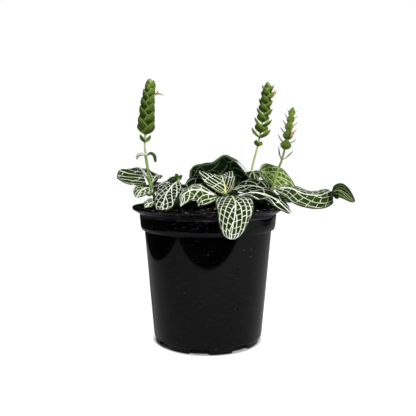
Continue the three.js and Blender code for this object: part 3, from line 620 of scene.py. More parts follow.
class Finish:
    """A material under work: nodes are added to it one by one."""

    def __init__(self, name, tree=None):
        if tree is None:
            self.material = bpy.data.materials.new(name)
            self.material.use_nodes = True
            tree = self.material.node_tree
        self.tree = tree
        self.shader = tree.nodes.get("Principled BSDF")

    def node(self, kind, settings=None, values=None, output=0):
        """Adds a node, sets its settings and then its values and links, and gives one of its outputs."""
        made = self.tree.nodes.new(kind)
        for setting, value in (settings or {}).items():
            setattr(made, setting, value)
        for socket, value in (values or {}).items():
            self.feed(made.inputs[socket], value)
        return Field(self, made.outputs[output])

    def feed(self, socket, value):
        if isinstance(value, Field):
            self.tree.links.new(value.socket, socket)
        elif isinstance(value, tuple) and len(value) == 3 and socket.type == "RGBA":
            socket.default_value = (*value, 1)
        else:
            socket.default_value = value

    def read(self, field):
        """Numbers that are kept at the corners of a piece."""
        return self.node("ShaderNodeAttribute", {"attribute_name": field}, output="Fac")

    def place(self):
        return self.node("ShaderNodeTexCoord", output="Object")

    def height(self):
        """Millimetres above the surface that the pot stands on."""
        return self.node("ShaderNodeSeparateXYZ", values={"Vector": self.place()}, output="Z") / MM

    def stretched(self, scale):
        return self.node("ShaderNodeMapping", values={"Vector": self.place(), "Scale": scale})

    def speckle(self, size, detail=2.0, vector=None, roughness=0.5):
        """Noise from 0 to 1 with grains of a size in millimetres."""
        values = {"Vector": vector or self.place(), "Scale": 1 / (size * MM)}
        values.update({"Detail": detail, "Roughness": roughness})
        return self.node("ShaderNodeTexNoise", values=values, output="Fac")

    def cells(self, size, output):
        """Round cells of a size in millimetres: the distance from their middles, or a colour for each."""
        values = {"Vector": self.place(), "Scale": 1 / (size * MM)}
        return self.node("ShaderNodeTexVoronoi", values=values, output=output)

    def chance(self, value):
        """A random number from 0 to 1 for each value."""
        return self.node("ShaderNodeTexWhiteNoise", {"noise_dimensions": "1D"}, {"W": value}, "Value")

    def blend(self, amount, low, high):
        """The low colour where the amount is 0, and the high one where it is 1."""
        amount_input, low_input, high_input, colour_output = 0, 6, 7, 2
        values = {amount_input: amount, low_input: low, high_input: high}
        return self.node("ShaderNodeMix", {"data_type": "RGBA"}, values, colour_output)

    def surface(self, **values):
        """The material itself, once its colour, roughness and relief are known."""
        for socket, value in values.items():
            self.feed(self.shader.inputs[socket.replace("_", " ")], value)
        return self.material

    def relief(self, height, depth, strength=1.0):
        """Raised and sunken detail, its depth in millimetres."""
        values = {"Height": height, "Distance": depth * MM, "Strength": strength}
        return self.node("ShaderNodeBump", values=values, output="Normal")


def rgb(red, green, blue):
    """A colour from its values on a screen, 0 to 255."""
    def linear(value):
        part = value / 255
        return part / 12.92 if part <= 0.04045 else ((part + 0.055) / 1.055) ** 2.4
    return (linear(red), linear(green), linear(blue))


def vein_net(finish):
    """Where a leaf has its midrib, any vein, and the paler skin beside veins, each from 0 to 1.

    The half widths of the veins and their distances from the margin are millimetres.
    """
    midrib_half, side_half, cross_half = 0.85, 0.22, 0.15
    loop_inset = 1.2
    along, rib, edge = finish.read("along"), finish.read("rib"), finish.read("edge")
    pitch = finish.read("pitch")
    wander = finish.speckle(7, detail=1.0) - 0.5
    shiver = finish.speckle(2.0, detail=1.0) - 0.5
    lateral = finish.read("lateral") + 0.3 * wander + 0.12 * shiver
    beside = (0.5 - abs(lateral.fraction() - 0.5)) * finish.read("strip")
    cross = finish.read("cross") + finish.chance(lateral.whole()) * 5 + 0.3 * shiver
    between_crosses = abs(cross.fraction() - 0.5) * pitch
    thick = (0.85 + 0.6 * wander) * finish.read("veins")
    midrib = (rib - midrib_half * (1 - 0.75 * along) * finish.read("midrib")).step(0.0, 0.25, 1.0, 0.0)
    laterals = (beside - side_half * thick).step(0.0, 0.17, 1.0, 0.0)
    crossing = (between_crosses - cross_half * thick).step(0.0, 0.15, 1.0, 0.0)
    loop = abs(edge - loop_inset - 0.9 * wander).step(0.1, 0.25, 1.0, 0.0)
    inside = edge.step(0.4, 1.0)
    laterals, crossing = laterals * inside, crossing * inside
    every = midrib.larger(laterals).larger(0.9 * crossing).larger(0.3 * loop)
    beside_sides = 1 - (beside - 0.2).step(0.0, 0.7)
    beside_crosses = 1 - (between_crosses - 0.15).step(0.0, 0.5)
    return midrib, every, beside_sides.larger(0.7 * beside_crosses) * inside


def netted_leaf():
    """Dark green between white or cream veins, which fade where the leaf's own net is less white."""
    finish = Finish("netted_leaf")
    midrib, net, halo = vein_net(finish)
    depth, white, cream = finish.read("depth"), finish.read("net"), finish.read("cream")
    mottle = finish.speckle(2.2, detail=3.0)
    bright = finish.blend(mottle.step(0.35, 0.7), rgb(42, 62, 8), rgb(70, 96, 24))
    # Toward depth 1 the green turns nearly black: painted shade for leaves that sit in shade
    dark = finish.blend(mottle.step(0.3, 0.75), rgb(4, 12, 2), rgb(13, 28, 6))
    green = finish.blend(depth, bright, dark)
    rim = finish.blend(depth, rgb(118, 146, 66), rgb(44, 66, 26))
    green = finish.blend(halo * 0.14, green, rim)
    base = (finish.read("along") * -2.2 + 1).larger(0.0)
    fresh = finish.blend(cream, rgb(240, 244, 230), rgb(228, 228, 160))
    low = 1 - finish.read("along").step(0.45, 0.8)
    vein = finish.blend((midrib * low * cream).larger(base * cream), rgb(242, 245, 233), fresh)
    foot = midrib * finish.read("foot") * (1 - finish.read("along").step(0.2, 0.3))
    vein = finish.blend(white.larger(foot), rgb(58, 82, 38), vein)
    colour = finish.blend(net, green, vein)
    pores = finish.speckle(0.35, detail=2.0)
    height = 0.5 * mottle + 0.25 * pores - 0.9 * net
    return finish.surface(
        Base_Color=colour,
        Roughness=0.52 + 0.12 * net + 0.1 * pores,
        Normal=finish.relief(height, 0.25, 0.6),
        Specular_IOR_Level=0.02,
    )


def leaf_underside():
    """Paler green with faint veins, or, as painted shade, dull and nearly black in patches."""
    finish = Finish("leaf_underside")
    midrib, net, halo = vein_net(finish)
    # The under value is painted shade: it turns the underside and its veins dull and nearly black
    under = finish.read("under")
    mottle = finish.speckle(1.8, detail=3.0)
    green = finish.blend(mottle.step(0.3, 0.7), rgb(62, 90, 20), rgb(88, 116, 38))
    patches = finish.speckle(9, detail=2.0) + 0.2 * halo
    dull = finish.blend(patches.step(0.45, 0.7), rgb(3, 9, 2), rgb(34, 50, 22))
    green = finish.blend(under, green, dull)
    vein = finish.blend(under, rgb(214, 226, 174), rgb(96, 116, 76))
    colour = finish.blend(net * 0.85, green, vein)
    height = 0.4 * mottle + 0.9 * net
    return finish.surface(
        Base_Color=colour,
        Roughness=0.62 + 0.1 * mottle,
        Normal=finish.relief(height, 0.25, 0.6),
        Specular_IOR_Level=0.05,
    )


def green_stem(name, low, high, tint, low_shade=0.0):
    """A streaked green stem, darkened close above the peat with painted shade."""
    finish = Finish(name)
    streaks = finish.speckle(1.2, detail=3.0, vector=finish.stretched((1, 1, 0.15)))
    blotches = finish.speckle(7, detail=2.0)
    colour = finish.blend(streaks.step(0.3, 0.7), low, high)
    colour = finish.blend(blotches.step(0.45, 0.75) * 0.5, colour, tint)
    # Painted shade: below 103 to 114 mm the stem turns a dark shaded green
    above_low_shade = finish.height().step(103.0, 114.0)
    colour = finish.blend((1 - above_low_shade) * low_shade, colour, rgb(30, 48, 18))
    return finish.surface(
        Base_Color=colour,
        Roughness=0.48 + 0.15 * streaks,
        Normal=finish.relief(streaks + 0.4 * finish.speckle(0.3), 0.15, 0.5),
        Specular_IOR_Level=0.35,
    )


def bract_green():
    """Bracts: a pale middle line, faint ribs, and darker thin margins."""
    finish = Finish("bract_green")
    along, side, tone = finish.read("along"), finish.read("side"), finish.read("tone")
    mottle = finish.speckle(1.1, detail=3.0)
    green = finish.blend(mottle.step(0.3, 0.75), rgb(102, 130, 38), rgb(138, 160, 64))
    # A random tone for each bract, made darker by the spike's painted shade
    green = finish.blend(tone * 0.45, green, rgb(70, 102, 22))
    edge = abs(side).step(0.55, 1.0)
    green = finish.blend(edge * along.step(0.5, 0.8) * 0.4, green, rgb(76, 102, 34))
    green = finish.blend(edge * (1 - along.step(0.3, 0.65)) * 0.7, green, rgb(168, 186, 106))
    ribs = abs((side * 2.6).fraction() - 0.5).step(0.36, 0.5) * (1 - along.step(0.6, 1.0))
    middle = 1 - (abs(side) + 0.1 * along).step(0.04, 0.16)
    colour = finish.blend((ribs * 0.3).larger(middle * 0.55), green, rgb(128, 158, 72))
    colour = finish.blend((1 - along.step(0.0, 0.3)) * 0.55, colour, rgb(140, 166, 84))
    return finish.surface(
        Base_Color=colour,
        Roughness=0.5 + 0.15 * mottle,
        Normal=finish.relief(middle * 0.8 + ribs * 0.5 + 0.5 * mottle, 0.15, 0.6),
        Specular_IOR_Level=0.3,
    )


def fine_hair():
    finish = Finish("fine_hair")
    tint = finish.speckle(3, detail=1.0)
    return finish.surface(
        Base_Color=finish.blend(tint, rgb(206, 214, 186), rgb(236, 238, 222)),
        Roughness=0.5 + 0.2 * tint,
        Specular_IOR_Level=0.3,
    )


def dried_petal():
    """Tan and papery, with brown blotches."""
    finish = Finish("dried_petal")
    streaks = finish.speckle(1.0, detail=4.0)
    blotch = finish.speckle(3.2, detail=2.0)
    colour = finish.blend(streaks.step(0.3, 0.7), rgb(206, 186, 128), rgb(170, 134, 78))
    colour = finish.blend(blotch.step(0.5, 0.68), colour, rgb(112, 84, 50))
    return finish.surface(
        Base_Color=colour,
        Roughness=0.7 + 0.2 * streaks,
        Normal=finish.relief(streaks, 0.2, 0.8),
        Specular_IOR_Level=0.25,
    )


def pot_plastic():
    """Black nursery plastic: glossy on lip and collar, satin below, with dust, specks and fine scuffs.

    The pale grey line along the ledge under the lip is a painted highlight.
    """
    finish = Finish("pot_plastic")
    height = finish.height()
    collar = height.step(79.0, 82.5)
    lip = height.step(91.5, 94.5)
    cloud = finish.speckle(14, detail=4.0)
    scuff = finish.speckle(0.9, detail=3.0, vector=finish.stretched((0.25, 0.25, 1)))
    speck_spacing = 2.6
    specks = 1 - finish.cells(speck_spacing, "Distance").step(0.06, 0.1)
    rare = finish.cells(speck_spacing, "Color")
    some = finish.node("ShaderNodeSeparateXYZ", values={"Vector": rare}, output="X") + 0.12 * collar
    dust = specks * some.step(0.9, 0.94)
    # The scuffs are wear; the grey line on the ledge under the lip is a painted highlight
    ledge = height.step(89.4, 90.0) * (1 - height.step(90.6, 91.2))
    scuffed = scuff.step(0.56, 0.68) * (0.04 + 0.07 * collar + 0.82 * lip)
    scuffs_and_ledge_highlight = scuffed.larger(0.45 * ledge * cloud.step(0.3, 0.6))
    black = finish.blend(cloud.step(0.3, 0.75), rgb(0, 0, 1), rgb(2, 2, 3))
    colour = finish.blend(scuffs_and_ledge_highlight * 0.85, black, rgb(104, 104, 118))
    colour = finish.blend(dust * 0.7, colour, rgb(150, 152, 148))
    return finish.surface(
        Base_Color=colour,
        Roughness=0.05 + 0.03 * cloud + 0.25 * lip + 0.3 * scuffs_and_ledge_highlight + 0.4 * dust,
        Normal=finish.relief(0.6 * scuff + 0.5 * cloud + 2 * dust, 0.05, 0.06),
        Specular_IOR_Level=0.21,
    )


def loose_matter(name, low, high, size, roughness=0.85):
    """Peat, bark or perlite: two colours in grains of a size."""
    finish = Finish(name)
    grains = finish.speckle(size, detail=5.0, roughness=0.7)
    patches = finish.speckle(size * 7, detail=2.0)
    colour = finish.blend((0.6 * grains + 0.4 * patches).step(0.38, 0.66), low, high)
    return finish.surface(
        Base_Color=colour,
        Roughness=roughness + 0.12 * grains,
        Normal=finish.relief(grains, 0.6, 0.9),
        Specular_IOR_Level=0.2,
    )


NETTED_LEAF = netted_leaf()
LEAF_UNDERSIDE = leaf_underside()
LEAF_RIB = green_stem("leaf_rib", rgb(160, 180, 108), rgb(198, 208, 156), rgb(142, 164, 90))
# Stems get painted shade close above the peat
STEM_GREEN = green_stem("stem_green", rgb(112, 138, 62), rgb(150, 172, 92), rgb(120, 128, 72), low_shade=0.85)
STALK_GREEN = green_stem("stalk_green", rgb(150, 172, 88), rgb(184, 200, 124), rgb(136, 160, 78))
OLD_STALK_GREEN = green_stem("old_stalk_green", rgb(94, 116, 46), rgb(128, 146, 70), rgb(106, 110, 58))
STALKS = {"left": LEAF_RIB, "middle": STALK_GREEN, "right": OLD_STALK_GREEN}
BRACT_GREEN = bract_green()
FINE_HAIR = fine_hair()
DRIED_PETAL = dried_petal()
POT_PLASTIC = pot_plastic()
PEAT = loose_matter("peat", rgb(12, 9, 7), rgb(38, 29, 21), 0.8)
BARK = loose_matter("bark", rgb(34, 24, 16), rgb(92, 66, 38), 0.6, roughness=0.75)
PERLITE = loose_matter("perlite", rgb(112, 108, 96), rgb(170, 166, 152), 0.5)


# Leaves

def width_at(t, peak):
    """The width of a blade at t, as a part of its width at the peak."""
    rise = 0.55
    fall = rise * (1 - peak) / peak
    return t**rise * (1 - t) ** fall / (peak**rise * (1 - peak) ** fall)


def reach_at(leaf, t, s):
    """How far the blade's margin is from its midrib, on the side of s."""
    peak, share = (np.where(s < 0, *np.broadcast_to(leaf[key], 2)) for key in ("peak", "sides"))
    return (leaf["half"] * width_at(t, peak) + 0.35) * share


def blade_point(leaf, t, s):
    """Middle of the blade: t runs from its base to its tip, s across it, from -1 to 1."""
    t = np.clip(t, 0, 1)
    step = 0.001
    rib = leaf["rib"]
    along = unit(smooth_line(rib, t + step) - smooth_line(rib, t - step))
    face = between(leaf["faces"], t * (len(leaf["faces"]) - 1))
    face = unit(face - (face * along).sum(1, keepdims=True) * along)
    right = np.cross(along, face)
    side = np.sign(s)
    reach = reach_at(leaf, t, s)
    lift = np.radians(np.where(s < 0, *np.broadcast_to(leaf["fold"], 2)))
    bend = math.radians(leaf["curl"])
    turn = lift - bend * np.abs(s)
    across = (np.sin(lift) - np.sin(turn)) / bend
    up = (np.cos(turn) - np.cos(lift)) / bend
    beats, height = leaf["waves"]
    beat = np.sin(2 * math.pi * (beats * t + leaf["phase"] + 0.37 * side))
    ripple = height * s * s * beat * np.sqrt(np.maximum(np.sin(math.pi * t), 0))
    middle = smooth_line(rib, t)
    return middle + (side * across * reach)[:, None] * right + (up * reach + ripple)[:, None] * face


def blade_normal(leaf, t, s):
    """The way that the blade's upper face looks."""
    step = 0.01
    t = np.clip(t, 0.02, 0.98)
    lengthwise = blade_point(leaf, t + step, s) - blade_point(leaf, t - step, s)
    crosswise = blade_point(leaf, t, s + step) - blade_point(leaf, t, s - step)
    return unit(np.cross(crosswise, lengthwise))


def vein_fields(leaf, look, t, s, length, seed):
    """Smooth numbers that the veins of the material follow."""
    off = np.abs(s)
    reach = reach_at(leaf, t, s)
    rise = leaf["rise"]
    climb = rise * (0.25 * off**1.6 + 0.3 * off)
    slope = rise * (0.4 * off**0.6 + 0.3)
    spacing = LATERAL_SPACING * look["spread"]
    strip = spacing / np.hypot(slope / reach, 1 / length)
    lateral = (t - climb) / spacing + np.where(s < 0, 40.5, 20) + 100 * seed
    pitch = look["cells"] * (0.12 * leaf["half"] + 1.9)
    cross = (t * length + 0.5 * off * reach) / pitch
    return dict(
        along=t, rib=off * reach, edge=(1 - off) * reach, lateral=lateral, strip=strip,
        cross=cross, pitch=pitch,
    )


def leaf_blade(name, leaf, seed):
    """A flat grid is bent to the leaf's shape, quilted between its veins and given its thickness."""
    length = line_length(leaf["rib"])
    small = leaf["small"]
    row_height = 0.8
    rows, columns = max(14, round(length / row_height)), 10 if small else 32
    bpy.ops.mesh.primitive_grid_add(x_subdivisions=columns, y_subdivisions=rows, size=2)
    blade = called(name)
    flat = corners(blade)
    s, even = flat[:, 0], np.clip(0.5 + 0.5 * flat[:, 1], 0, 1)
    t = 0.5 * even + 0.25 - 0.25 * np.cos(math.pi * even)
    look = {**USUAL_LOOK, **LEAF_LOOKS.get(name, {})}
    veins = vein_fields(leaf, look, t, s, length, seed)
    middle, up = blade_point(leaf, t, s), blade_normal(leaf, t, s)
    inside = np.clip(veins["edge"] / 1.5, 0, 1) * np.clip(veins["rib"] / 1.5, 0, 1)
    wide = np.clip(veins["strip"] / 2, 0, 1)
    quilt = QUILT_HEIGHT * (0.5 - np.cos(2 * math.pi * veins["lateral"])) * inside * wide
    uneven = UNEVENNESS * grain(middle, 5, seed) * np.clip(4 * t, 0, 1)
    if small:
        quilt = uneven = np.zeros(len(t))
    set_corners(blade, placed(middle + (quilt + uneven)[:, None] * up))
    paint(blade, **veins, **look)
    blade.data.materials.append(NETTED_LEAF)
    blade.data.materials.append(LEAF_UNDERSIDE)
    worked(
        blade, "SOLIDIFY", thickness=BLADE_THICKNESS * MM, offset=0, material_offset=1,
        use_quality_normals=True,
    )
    if small:
        return blade
    middle_row = np.flatnonzero(np.abs(s) < 1e-4)
    middle_row = middle_row[np.argsort(t[middle_row])][:-4]
    ridge = (middle + (uneven - KEEL_DEPTH)[:, None] * up)[middle_row]
    keel = tube(name + "_keel", ridge, mix(0.5, 0.12, t[middle_row]))
    keel.data.materials.append(LEAF_RIB)
    return joined(name, [blade, keel])


def stem_hairs(line, radii, count, rng):
    """Roots and directions of hairs round a line of points."""
    places = rng.uniform(0.02, 0.98, count) * (len(line) - 1)
    ahead = unit(between(np.gradient(line, axis=0), places))
    radius = np.interp(places, np.arange(len(line)), np.broadcast_to(radii, len(line)))
    side = unit(np.cross(ahead, rng.normal(size=(count, 3))))
    return between(line, places) + 0.9 * radius[:, None] * side, side + 0.35 * ahead


def leafy_stem(name, stem_line, leaves, rng):
    """Stem, swollen nodes and petioles, grown together, under a coat of fine hairs."""
    stem_places, petiole_places = np.linspace(0, 1, 40), np.linspace(0, 1, 14)
    foot = (*stem_line[0][:2], STEM_FOOT)
    line = smooth_line([foot, *stem_line], stem_places)
    radii = STEM_RADIUS * mix(1.1, 0.92, stem_places)
    parts = [tube(name, line, radii)]
    coats = [(line, radii, *STEM_COAT)]
    knuckles = set()
    for leaf in leaves:
        small = leaf["small"]
        into = smooth_line(leaf["rib"], 0.25 if small else 0.06)
        petiole = smooth_line([leaf["start"], leaf["rib"][0], into], petiole_places)
        radius = SMALL_PETIOLE_RADIUS if small else PETIOLE_RADIUS
        parts.append(tube(name, petiole, radius * mix(1.15, 0.85, petiole_places)))
        if not small and leaf["start"] not in knuckles:
            knuckles.add(leaf["start"])
            bpy.ops.mesh.primitive_uv_sphere_add(
                segments=20, ring_count=12, radius=KNUCKLE_RADIUS * MM, location=placed(leaf["start"]),
            )
            parts.append(bpy.context.object)
        coats.append((petiole, radius, *PETIOLE_COAT))
        if leaf["hairy"]:
            leaf_foot = smooth_line(leaf["rib"], np.linspace(0.05, 0.33, 14))
            coats.append((leaf_foot, SMALL_PETIOLE_RADIUS, *HAIRY_FOOT_COAT))
    stem = joined(name, parts)
    bpy.ops.object.transform_apply()
    worked(stem, "REMESH", mode="VOXEL", voxel_size=0.3 * MM)
    worked(stem, "SMOOTH", factor=0.6, iterations=4)
    hairs = [
        (*stem_hairs(path, radius, count, rng), longest * rng.uniform(0.45, 1.0, count))
        for path, radius, count, longest in coats
    ]
    roots, ways, lengths = (np.concatenate(values) for values in zip(*hairs))
    ways = unit(ways) + rng.normal(scale=0.2, size=ways.shape)
    return stem, hair_coat(name + "_hairs", roots, ways, lengths, STEM_HAIR)


def grow_shoots():
    rng = np.random.default_rng(11)
    seeds = {name: seed for seed, name in enumerate(LEAVES, 1)}
    for node, line in STEMS.items():
        leaves = {name: {**USUAL_LEAF, **leaf} for name, leaf in LEAVES.items() if name.startswith(node)}
        stem, hairs = leafy_stem(node + "_stem", line, leaves.values(), rng)
        settled(stem, node, STEM_GREEN)
        settled(hairs, node, FINE_HAIR)
        for name, leaf in leaves.items():
            settled(leaf_blade(name, leaf, seeds[name]), node)


# Flower spikes

def bract_pattern():
    """One flat bract, and where its corners are: u from its foot to its point, v across it."""
    bpy.ops.mesh.primitive_grid_add(x_subdivisions=8, y_subdivisions=10, size=2)
    bract = called("bract_pattern")
    flat = corners(bract)
    u, v = 0.5 + 0.5 * flat[:, 1], flat[:, 0]
    paint(bract, along=u, side=v, tone=0.5)
    return bract, u, v


def bract_points(foot, axis, outward, length, width, spread, u, v):
    """Cupped round the stalk, widest below its middle, drawn out to a point."""
    across = np.cross(axis, outward)
    tilt = math.radians(spread)
    outline = np.sin(math.pi * np.clip(u, 0.015, 0.995) ** 0.78) ** mix(0.75, 1.1, u)
    bulge = 0.08 * width * (1 - 1.6 * v * v) * np.sin(math.pi * u)
    out = length * math.sin(tilt) * (1.35 * u - 0.4 * u * u) + bulge
    rise = length * math.cos(tilt) * (0.85 * u + 0.15 * u * u) - 0.4 * bulge
    points = foot + out[:, None] * outward + rise[:, None] * axis
    return points + (0.5 * width * outline * v)[:, None] * across


def bract_hairs(shape, rng):
    """Roots and directions of hairs along both margins of a bract."""
    count = 46
    where = rng.uniform(0.15, 0.97, count)
    margin = rng.choice([-1.0, 1.0], count)
    edge = bract_points(*shape, where, margin)
    inner = bract_points(*shape, where, 0.8 * margin)
    ahead = bract_points(*shape, where + 0.03, margin) - edge
    return edge, unit(edge - inner) + unit(ahead) + rng.normal(scale=0.25, size=edge.shape)


def bract_pairs(spike):
    """Foot, axis, way out, length, width and spread of every pair of bracts, from the lowest up."""
    top = spike["pairs"] - 1
    for i in range(spike["pairs"]):
        rank = max(i - 1, 0) / (top - 1)
        part = mix(spike["start"][1], 0.985, rank * (1.3 - 0.3 * rank)) if i else spike["start"][0]
        foot, axis = at_distance(spike["stalk"], part)
        outward = upright_turn(math.radians(spike["turn"] + 90 * (i % 2)))[:, 0]
        outward = unit(outward - (outward @ axis) * axis)
        kind = spike if i % 2 else spike.get("bristles", spike)
        size = {0: spike["lowest"], top: 0.8}.get(i, 1)
        length, width = size * mix(*kind["length"], rank), size * mix(*kind["width"], rank)
        spread = mix(*kind["spread"], rank) if i else kind.get("first", kind["spread"][0])
        yield foot, axis, outward, length, width, spread


def flower_spike(name, spike, rng):
    """Crossed pairs of bracts up a stalk, with a bud at the top, and fine hairs on them."""
    flat_bract, u, v = bract_pattern()
    bracts, hairs = [], []
    for i, (foot, axis, outward, length, width, spread) in enumerate(bract_pairs(spike)):
        for way in (1, -1):
            long, wide = length * rng.uniform(0.95, 1.05), width * rng.uniform(0.95, 1.05)
            shape = (foot, axis, way * outward, long, wide, spread + rng.uniform(-3, 3))
            points = bract_points(*shape, u, v)
            points += 0.28 * grain(points, 2.2, i)[:, None] * outward
            bract = copied(flat_bract, name + "_bract")
            set_corners(bract, placed(points))
            # Each bract gets a random tone plus the spike's painted shade
            paint(bract, tone=rng.uniform(0, 1) + spike["shade"])
            bracts.append(bract)
            hairs.append(bract_hairs(shape, rng))
    discarded(flat_bract)
    bracts = joined(name + "_bracts", bracts)
    worked(bracts, "SOLIDIFY", thickness=BRACT_THICKNESS * MM, offset=0)
    worked(bracts, "SUBSURF", levels=1, render_levels=1)
    places = np.linspace(0, 1, 60)
    line = smooth_line(spike["stalk"], places)
    stalk = tube(name + "_stalk", line, STALK_RADIUS * mix(1.05, 0.8, places))
    bpy.ops.mesh.primitive_uv_sphere_add(
        segments=20, ring_count=14, radius=spike["bud"] * MM, location=placed(spike["stalk"][-1]),
    )
    bud = called(name + "_bud")
    bud.scale = (1, 1, 2.4)
    hairs.append(stem_hairs(line, STALK_RADIUS, 200, rng))
    roots, ways = (np.vstack(rows) for rows in zip(*hairs))
    coat = hair_coat(name + "_hairs", roots, ways, rng.uniform(0.3, 0.7, len(roots)), BRACT_HAIR)
    return bracts, stalk, bud, coat


def grow_spikes():
    rng = np.random.default_rng(5)
    for name, spike in SPIKES.items():
        node = name + "_flower_spike"
        pieces = flower_spike(node, spike, rng)
        for piece, finish in zip(pieces, (BRACT_GREEN, STALKS[name], BRACT_GREEN, FINE_HAIR)):
            settled(piece, node, finish)


def dried_flowers():
    """Wilted tubes, thickened in their middle and crumpled."""
    for name, lines in DRIED_FLOWERS.items():
        node = name + "_dried_flower"
        parts = []
        for line in lines:
            places = np.linspace(0, 1, 24)
            points = smooth_line(line, places)
            points = points + 0.15 * np.stack([grain(points, 1.2, seed) for seed in (1, 2, 3)], axis=1)
            radii = 0.28 + 0.3 * np.sin(math.pi * places) ** 2 + 0.14 * grain(points, 1.0, 7)
            parts.append(tube(node, points, radii))
        flower = joined(node + "_petals", parts)
        worked(flower, "SUBSURF", levels=1, render_levels=1)
        settled(flower, node, DRIED_PETAL)


# Soil

def soil_height(x, y):
    """Level at a place: a low crown with lumps, and the peat heaped behind the right stems."""
    crown = 3.5 * (1 - (x * x + y * y) / 2200)
    lumps = 0.7 * np.sin(0.31 * x + 1.3) * np.cos(0.27 * y) + 0.4 * np.sin(0.53 * y - 0.41 * x)
    heap = 9 * np.exp(-((x - 39) ** 2 + (y - 8) ** 2) / 110) * np.clip((47 - np.hypot(x, y)) / 4, 0.1, 1)
    return SOIL_EDGE + crown + lumps + heap


def soil_bed():
    """A ring is drawn in to the middle for the soil's rough top."""
    bpy.ops.mesh.primitive_circle_add(
        vertices=160, radius=SOIL_RADIUS * MM, fill_type="NOTHING", location=POT_AXIS,
    )
    bed = called("soil_bed")
    editing(True)
    rings_drawn([(radius, 0) for radius in (SOIL_RADIUS, 46.3, *np.linspace(45.5, 1.0, 46))])
    bpy.ops.mesh.edge_face_add()
    editing(False)
    bpy.ops.object.transform_apply()
    points = (corners(bed) - POT_AXIS) / MM
    x, y = points[:, 0], points[:, 1]
    radius = np.hypot(x, y)
    rough = 1.3 * grain(points, 6, 3) + 0.9 * grain(points, 2.4, 9) + 0.5 * grain(points, 1.1, 4)
    points[:, 2] = soil_height(x, y) + rough * np.clip((46.8 - radius) / 2, 0, 1) - 1.5 * (radius > 46.6)
    set_corners(bed, placed(points))
    return bed


def close_soil(bed):
    """The soil's side follows the pot's wall to its floor."""
    pick(bed)
    editing(True)
    bpy.ops.mesh.select_all(action="DESELECT")
    editing(False)
    outer = np.hypot(*((corners(bed) - POT_AXIS) / MM)[:, :2].T) > SOIL_RADIUS - 0.1
    bed.data.vertices.foreach_set("select", outer)
    for edge in bed.data.edges:
        edge.select = outer[edge.vertices[0]] and outer[edge.vertices[1]]
    editing(True)
    rings_drawn([(SOIL_RADIUS, SOIL_SIDE_TOP), (46.5, 83.3), (43.7, 81.1), (37.4, 6.1)])
    bpy.ops.mesh.edge_face_add()
    faces_outward()
    editing(False)


def scattered(name, count, size, rng, shape=(1, 1, 1)):
    """Crumbs, chips or grains over the soil, each a knobbly copy of one stone."""
    bpy.ops.mesh.primitive_ico_sphere_add(subdivisions=2, radius=1)
    stone, faces = pattern()
    farthest = 45.0
    points = []
    for k in range(count):
        radius, angle = farthest * math.sqrt(rng.uniform(0, 1)), rng.uniform(0, 2 * math.pi)
        x, y = radius * math.cos(angle), radius * math.sin(angle)
        knobs = stone * (1 + 0.28 * grain(stone * 1.3, 1.0, k + 0.5))[:, None]
        knobs = knobs * shape * rng.uniform(0.7, 1.3, 3) * size * rng.uniform(0.45, 1.0)
        about, tip = upright_turn(rng.uniform(0, 2 * math.pi)), rng.uniform(-0.7, 0.7)
        over = np.array([[1, 0, 0], [0, math.cos(tip), -math.sin(tip)], [0, math.sin(tip), math.cos(tip)]])
        points.append(knobs @ (about @ over).T + (x, y, soil_height(x, y) + 0.25 * size))
    return many(name, np.array(points), faces)


def lay_soil():
    rng = np.random.default_rng(23)
    bed = soil_bed()
    close_soil(bed)
    settled(bed, "soil", PEAT)
    settled(scattered("peat_crumbs", 620, 1.15, rng), "soil", PEAT)
    settled(scattered("bark_chips", 90, 1.7, rng, shape=(1.7, 0.8, 0.5)), "soil", BARK)
    settled(scattered("perlite_grains", 60, 0.85, rng), "soil", PERLITE)


# Pot

def rounded(profile, radii):
    """The profile with an arc in place of each corner that has a radius."""
    points = []
    for k, (corner, radius) in enumerate(zip(profile, radii)):
        here = np.array(corner, float)
        if not radius:
            points.append(here)
            continue
        before = np.array(profile[k - 1], float) - here
        after = np.array(profile[(k + 1) % len(profile)], float) - here
        reach = min(radius, 0.45 * np.linalg.norm(before), 0.45 * np.linalg.norm(after))
        start, end = here + unit(before) * reach, here + unit(after) * reach
        for u in np.linspace(0, 1, 5):
            points.append((1 - u) ** 2 * start + 2 * u * (1 - u) * here + u * u * end)
    return np.array(points)


def held(points):
    """Extra points close to the ends of long stretches keep those stretches straight when shaded."""
    kept = []
    for here, after in zip(points, np.vstack([points[1:], points[:1]])):
        kept.append(here)
        length = np.linalg.norm(after - here)
        if length > 3:
            way = (after - here) / length
            kept += [here + 0.5 * way, after - 0.5 * way]
    return np.array(kept)


def pot_profile():
    """Radius and height from the middle drain hole outwards, up, over the lip and back inside.

    The third number of a station is the radius of its eased corner.
    """
    stations = [
        (3.5, 4.6, 0), (36.3, 4.6, 0.6), (36.3, 0.0, 0.35), (37.5, 0.0, 0.4), (37.6, 3.4, 0.3),
        (39.0, 3.95, 0.5), (42.0, 39.0, 0), (45.4, 79.7, 0.3), (47.4, 80.3, 0.5), (48.1, 82.3, 0.9),
        (48.45, 86.5, 0), (48.8, 90.3, 0.5), (48.5, 90.6, 0.2), (48.6, 91.2, 0.3), (50.5, 92.7, 1.2),
        (53.6, 94.4, 0.7), (54.0, 96.2, 0.7), (53.0, 97.0, 0.6), (51.8, 95.7, 0.8), (49.4, 93.5, 0.8),
        (47.6, 91.1, 0.6), (46.9, 83.0, 0.6), (44.2, 80.8, 0.6), (37.8, 5.8, 0.8), (3.5, 5.8, 0),
    ]
    return held(rounded([station[:2] for station in stations], [station[2] for station in stations]))


def turned_shell():
    """A ring is extruded from point to point of the profile and bridged to its start."""
    profile = pot_profile()
    radius, height = profile[0]
    bpy.ops.mesh.primitive_circle_add(
        vertices=168, radius=radius * MM, fill_type="NOTHING", location=POT_AXIS + (0, 0, height * MM),
    )
    shell = called("pot_shell")
    editing(True)
    rings_drawn(profile)
    bpy.ops.mesh.select_all(action="DESELECT")
    bpy.ops.mesh.select_non_manifold()
    bpy.ops.mesh.bridge_edge_loops()
    faces_outward()
    editing(False)
    bpy.ops.object.transform_apply()
    return shell


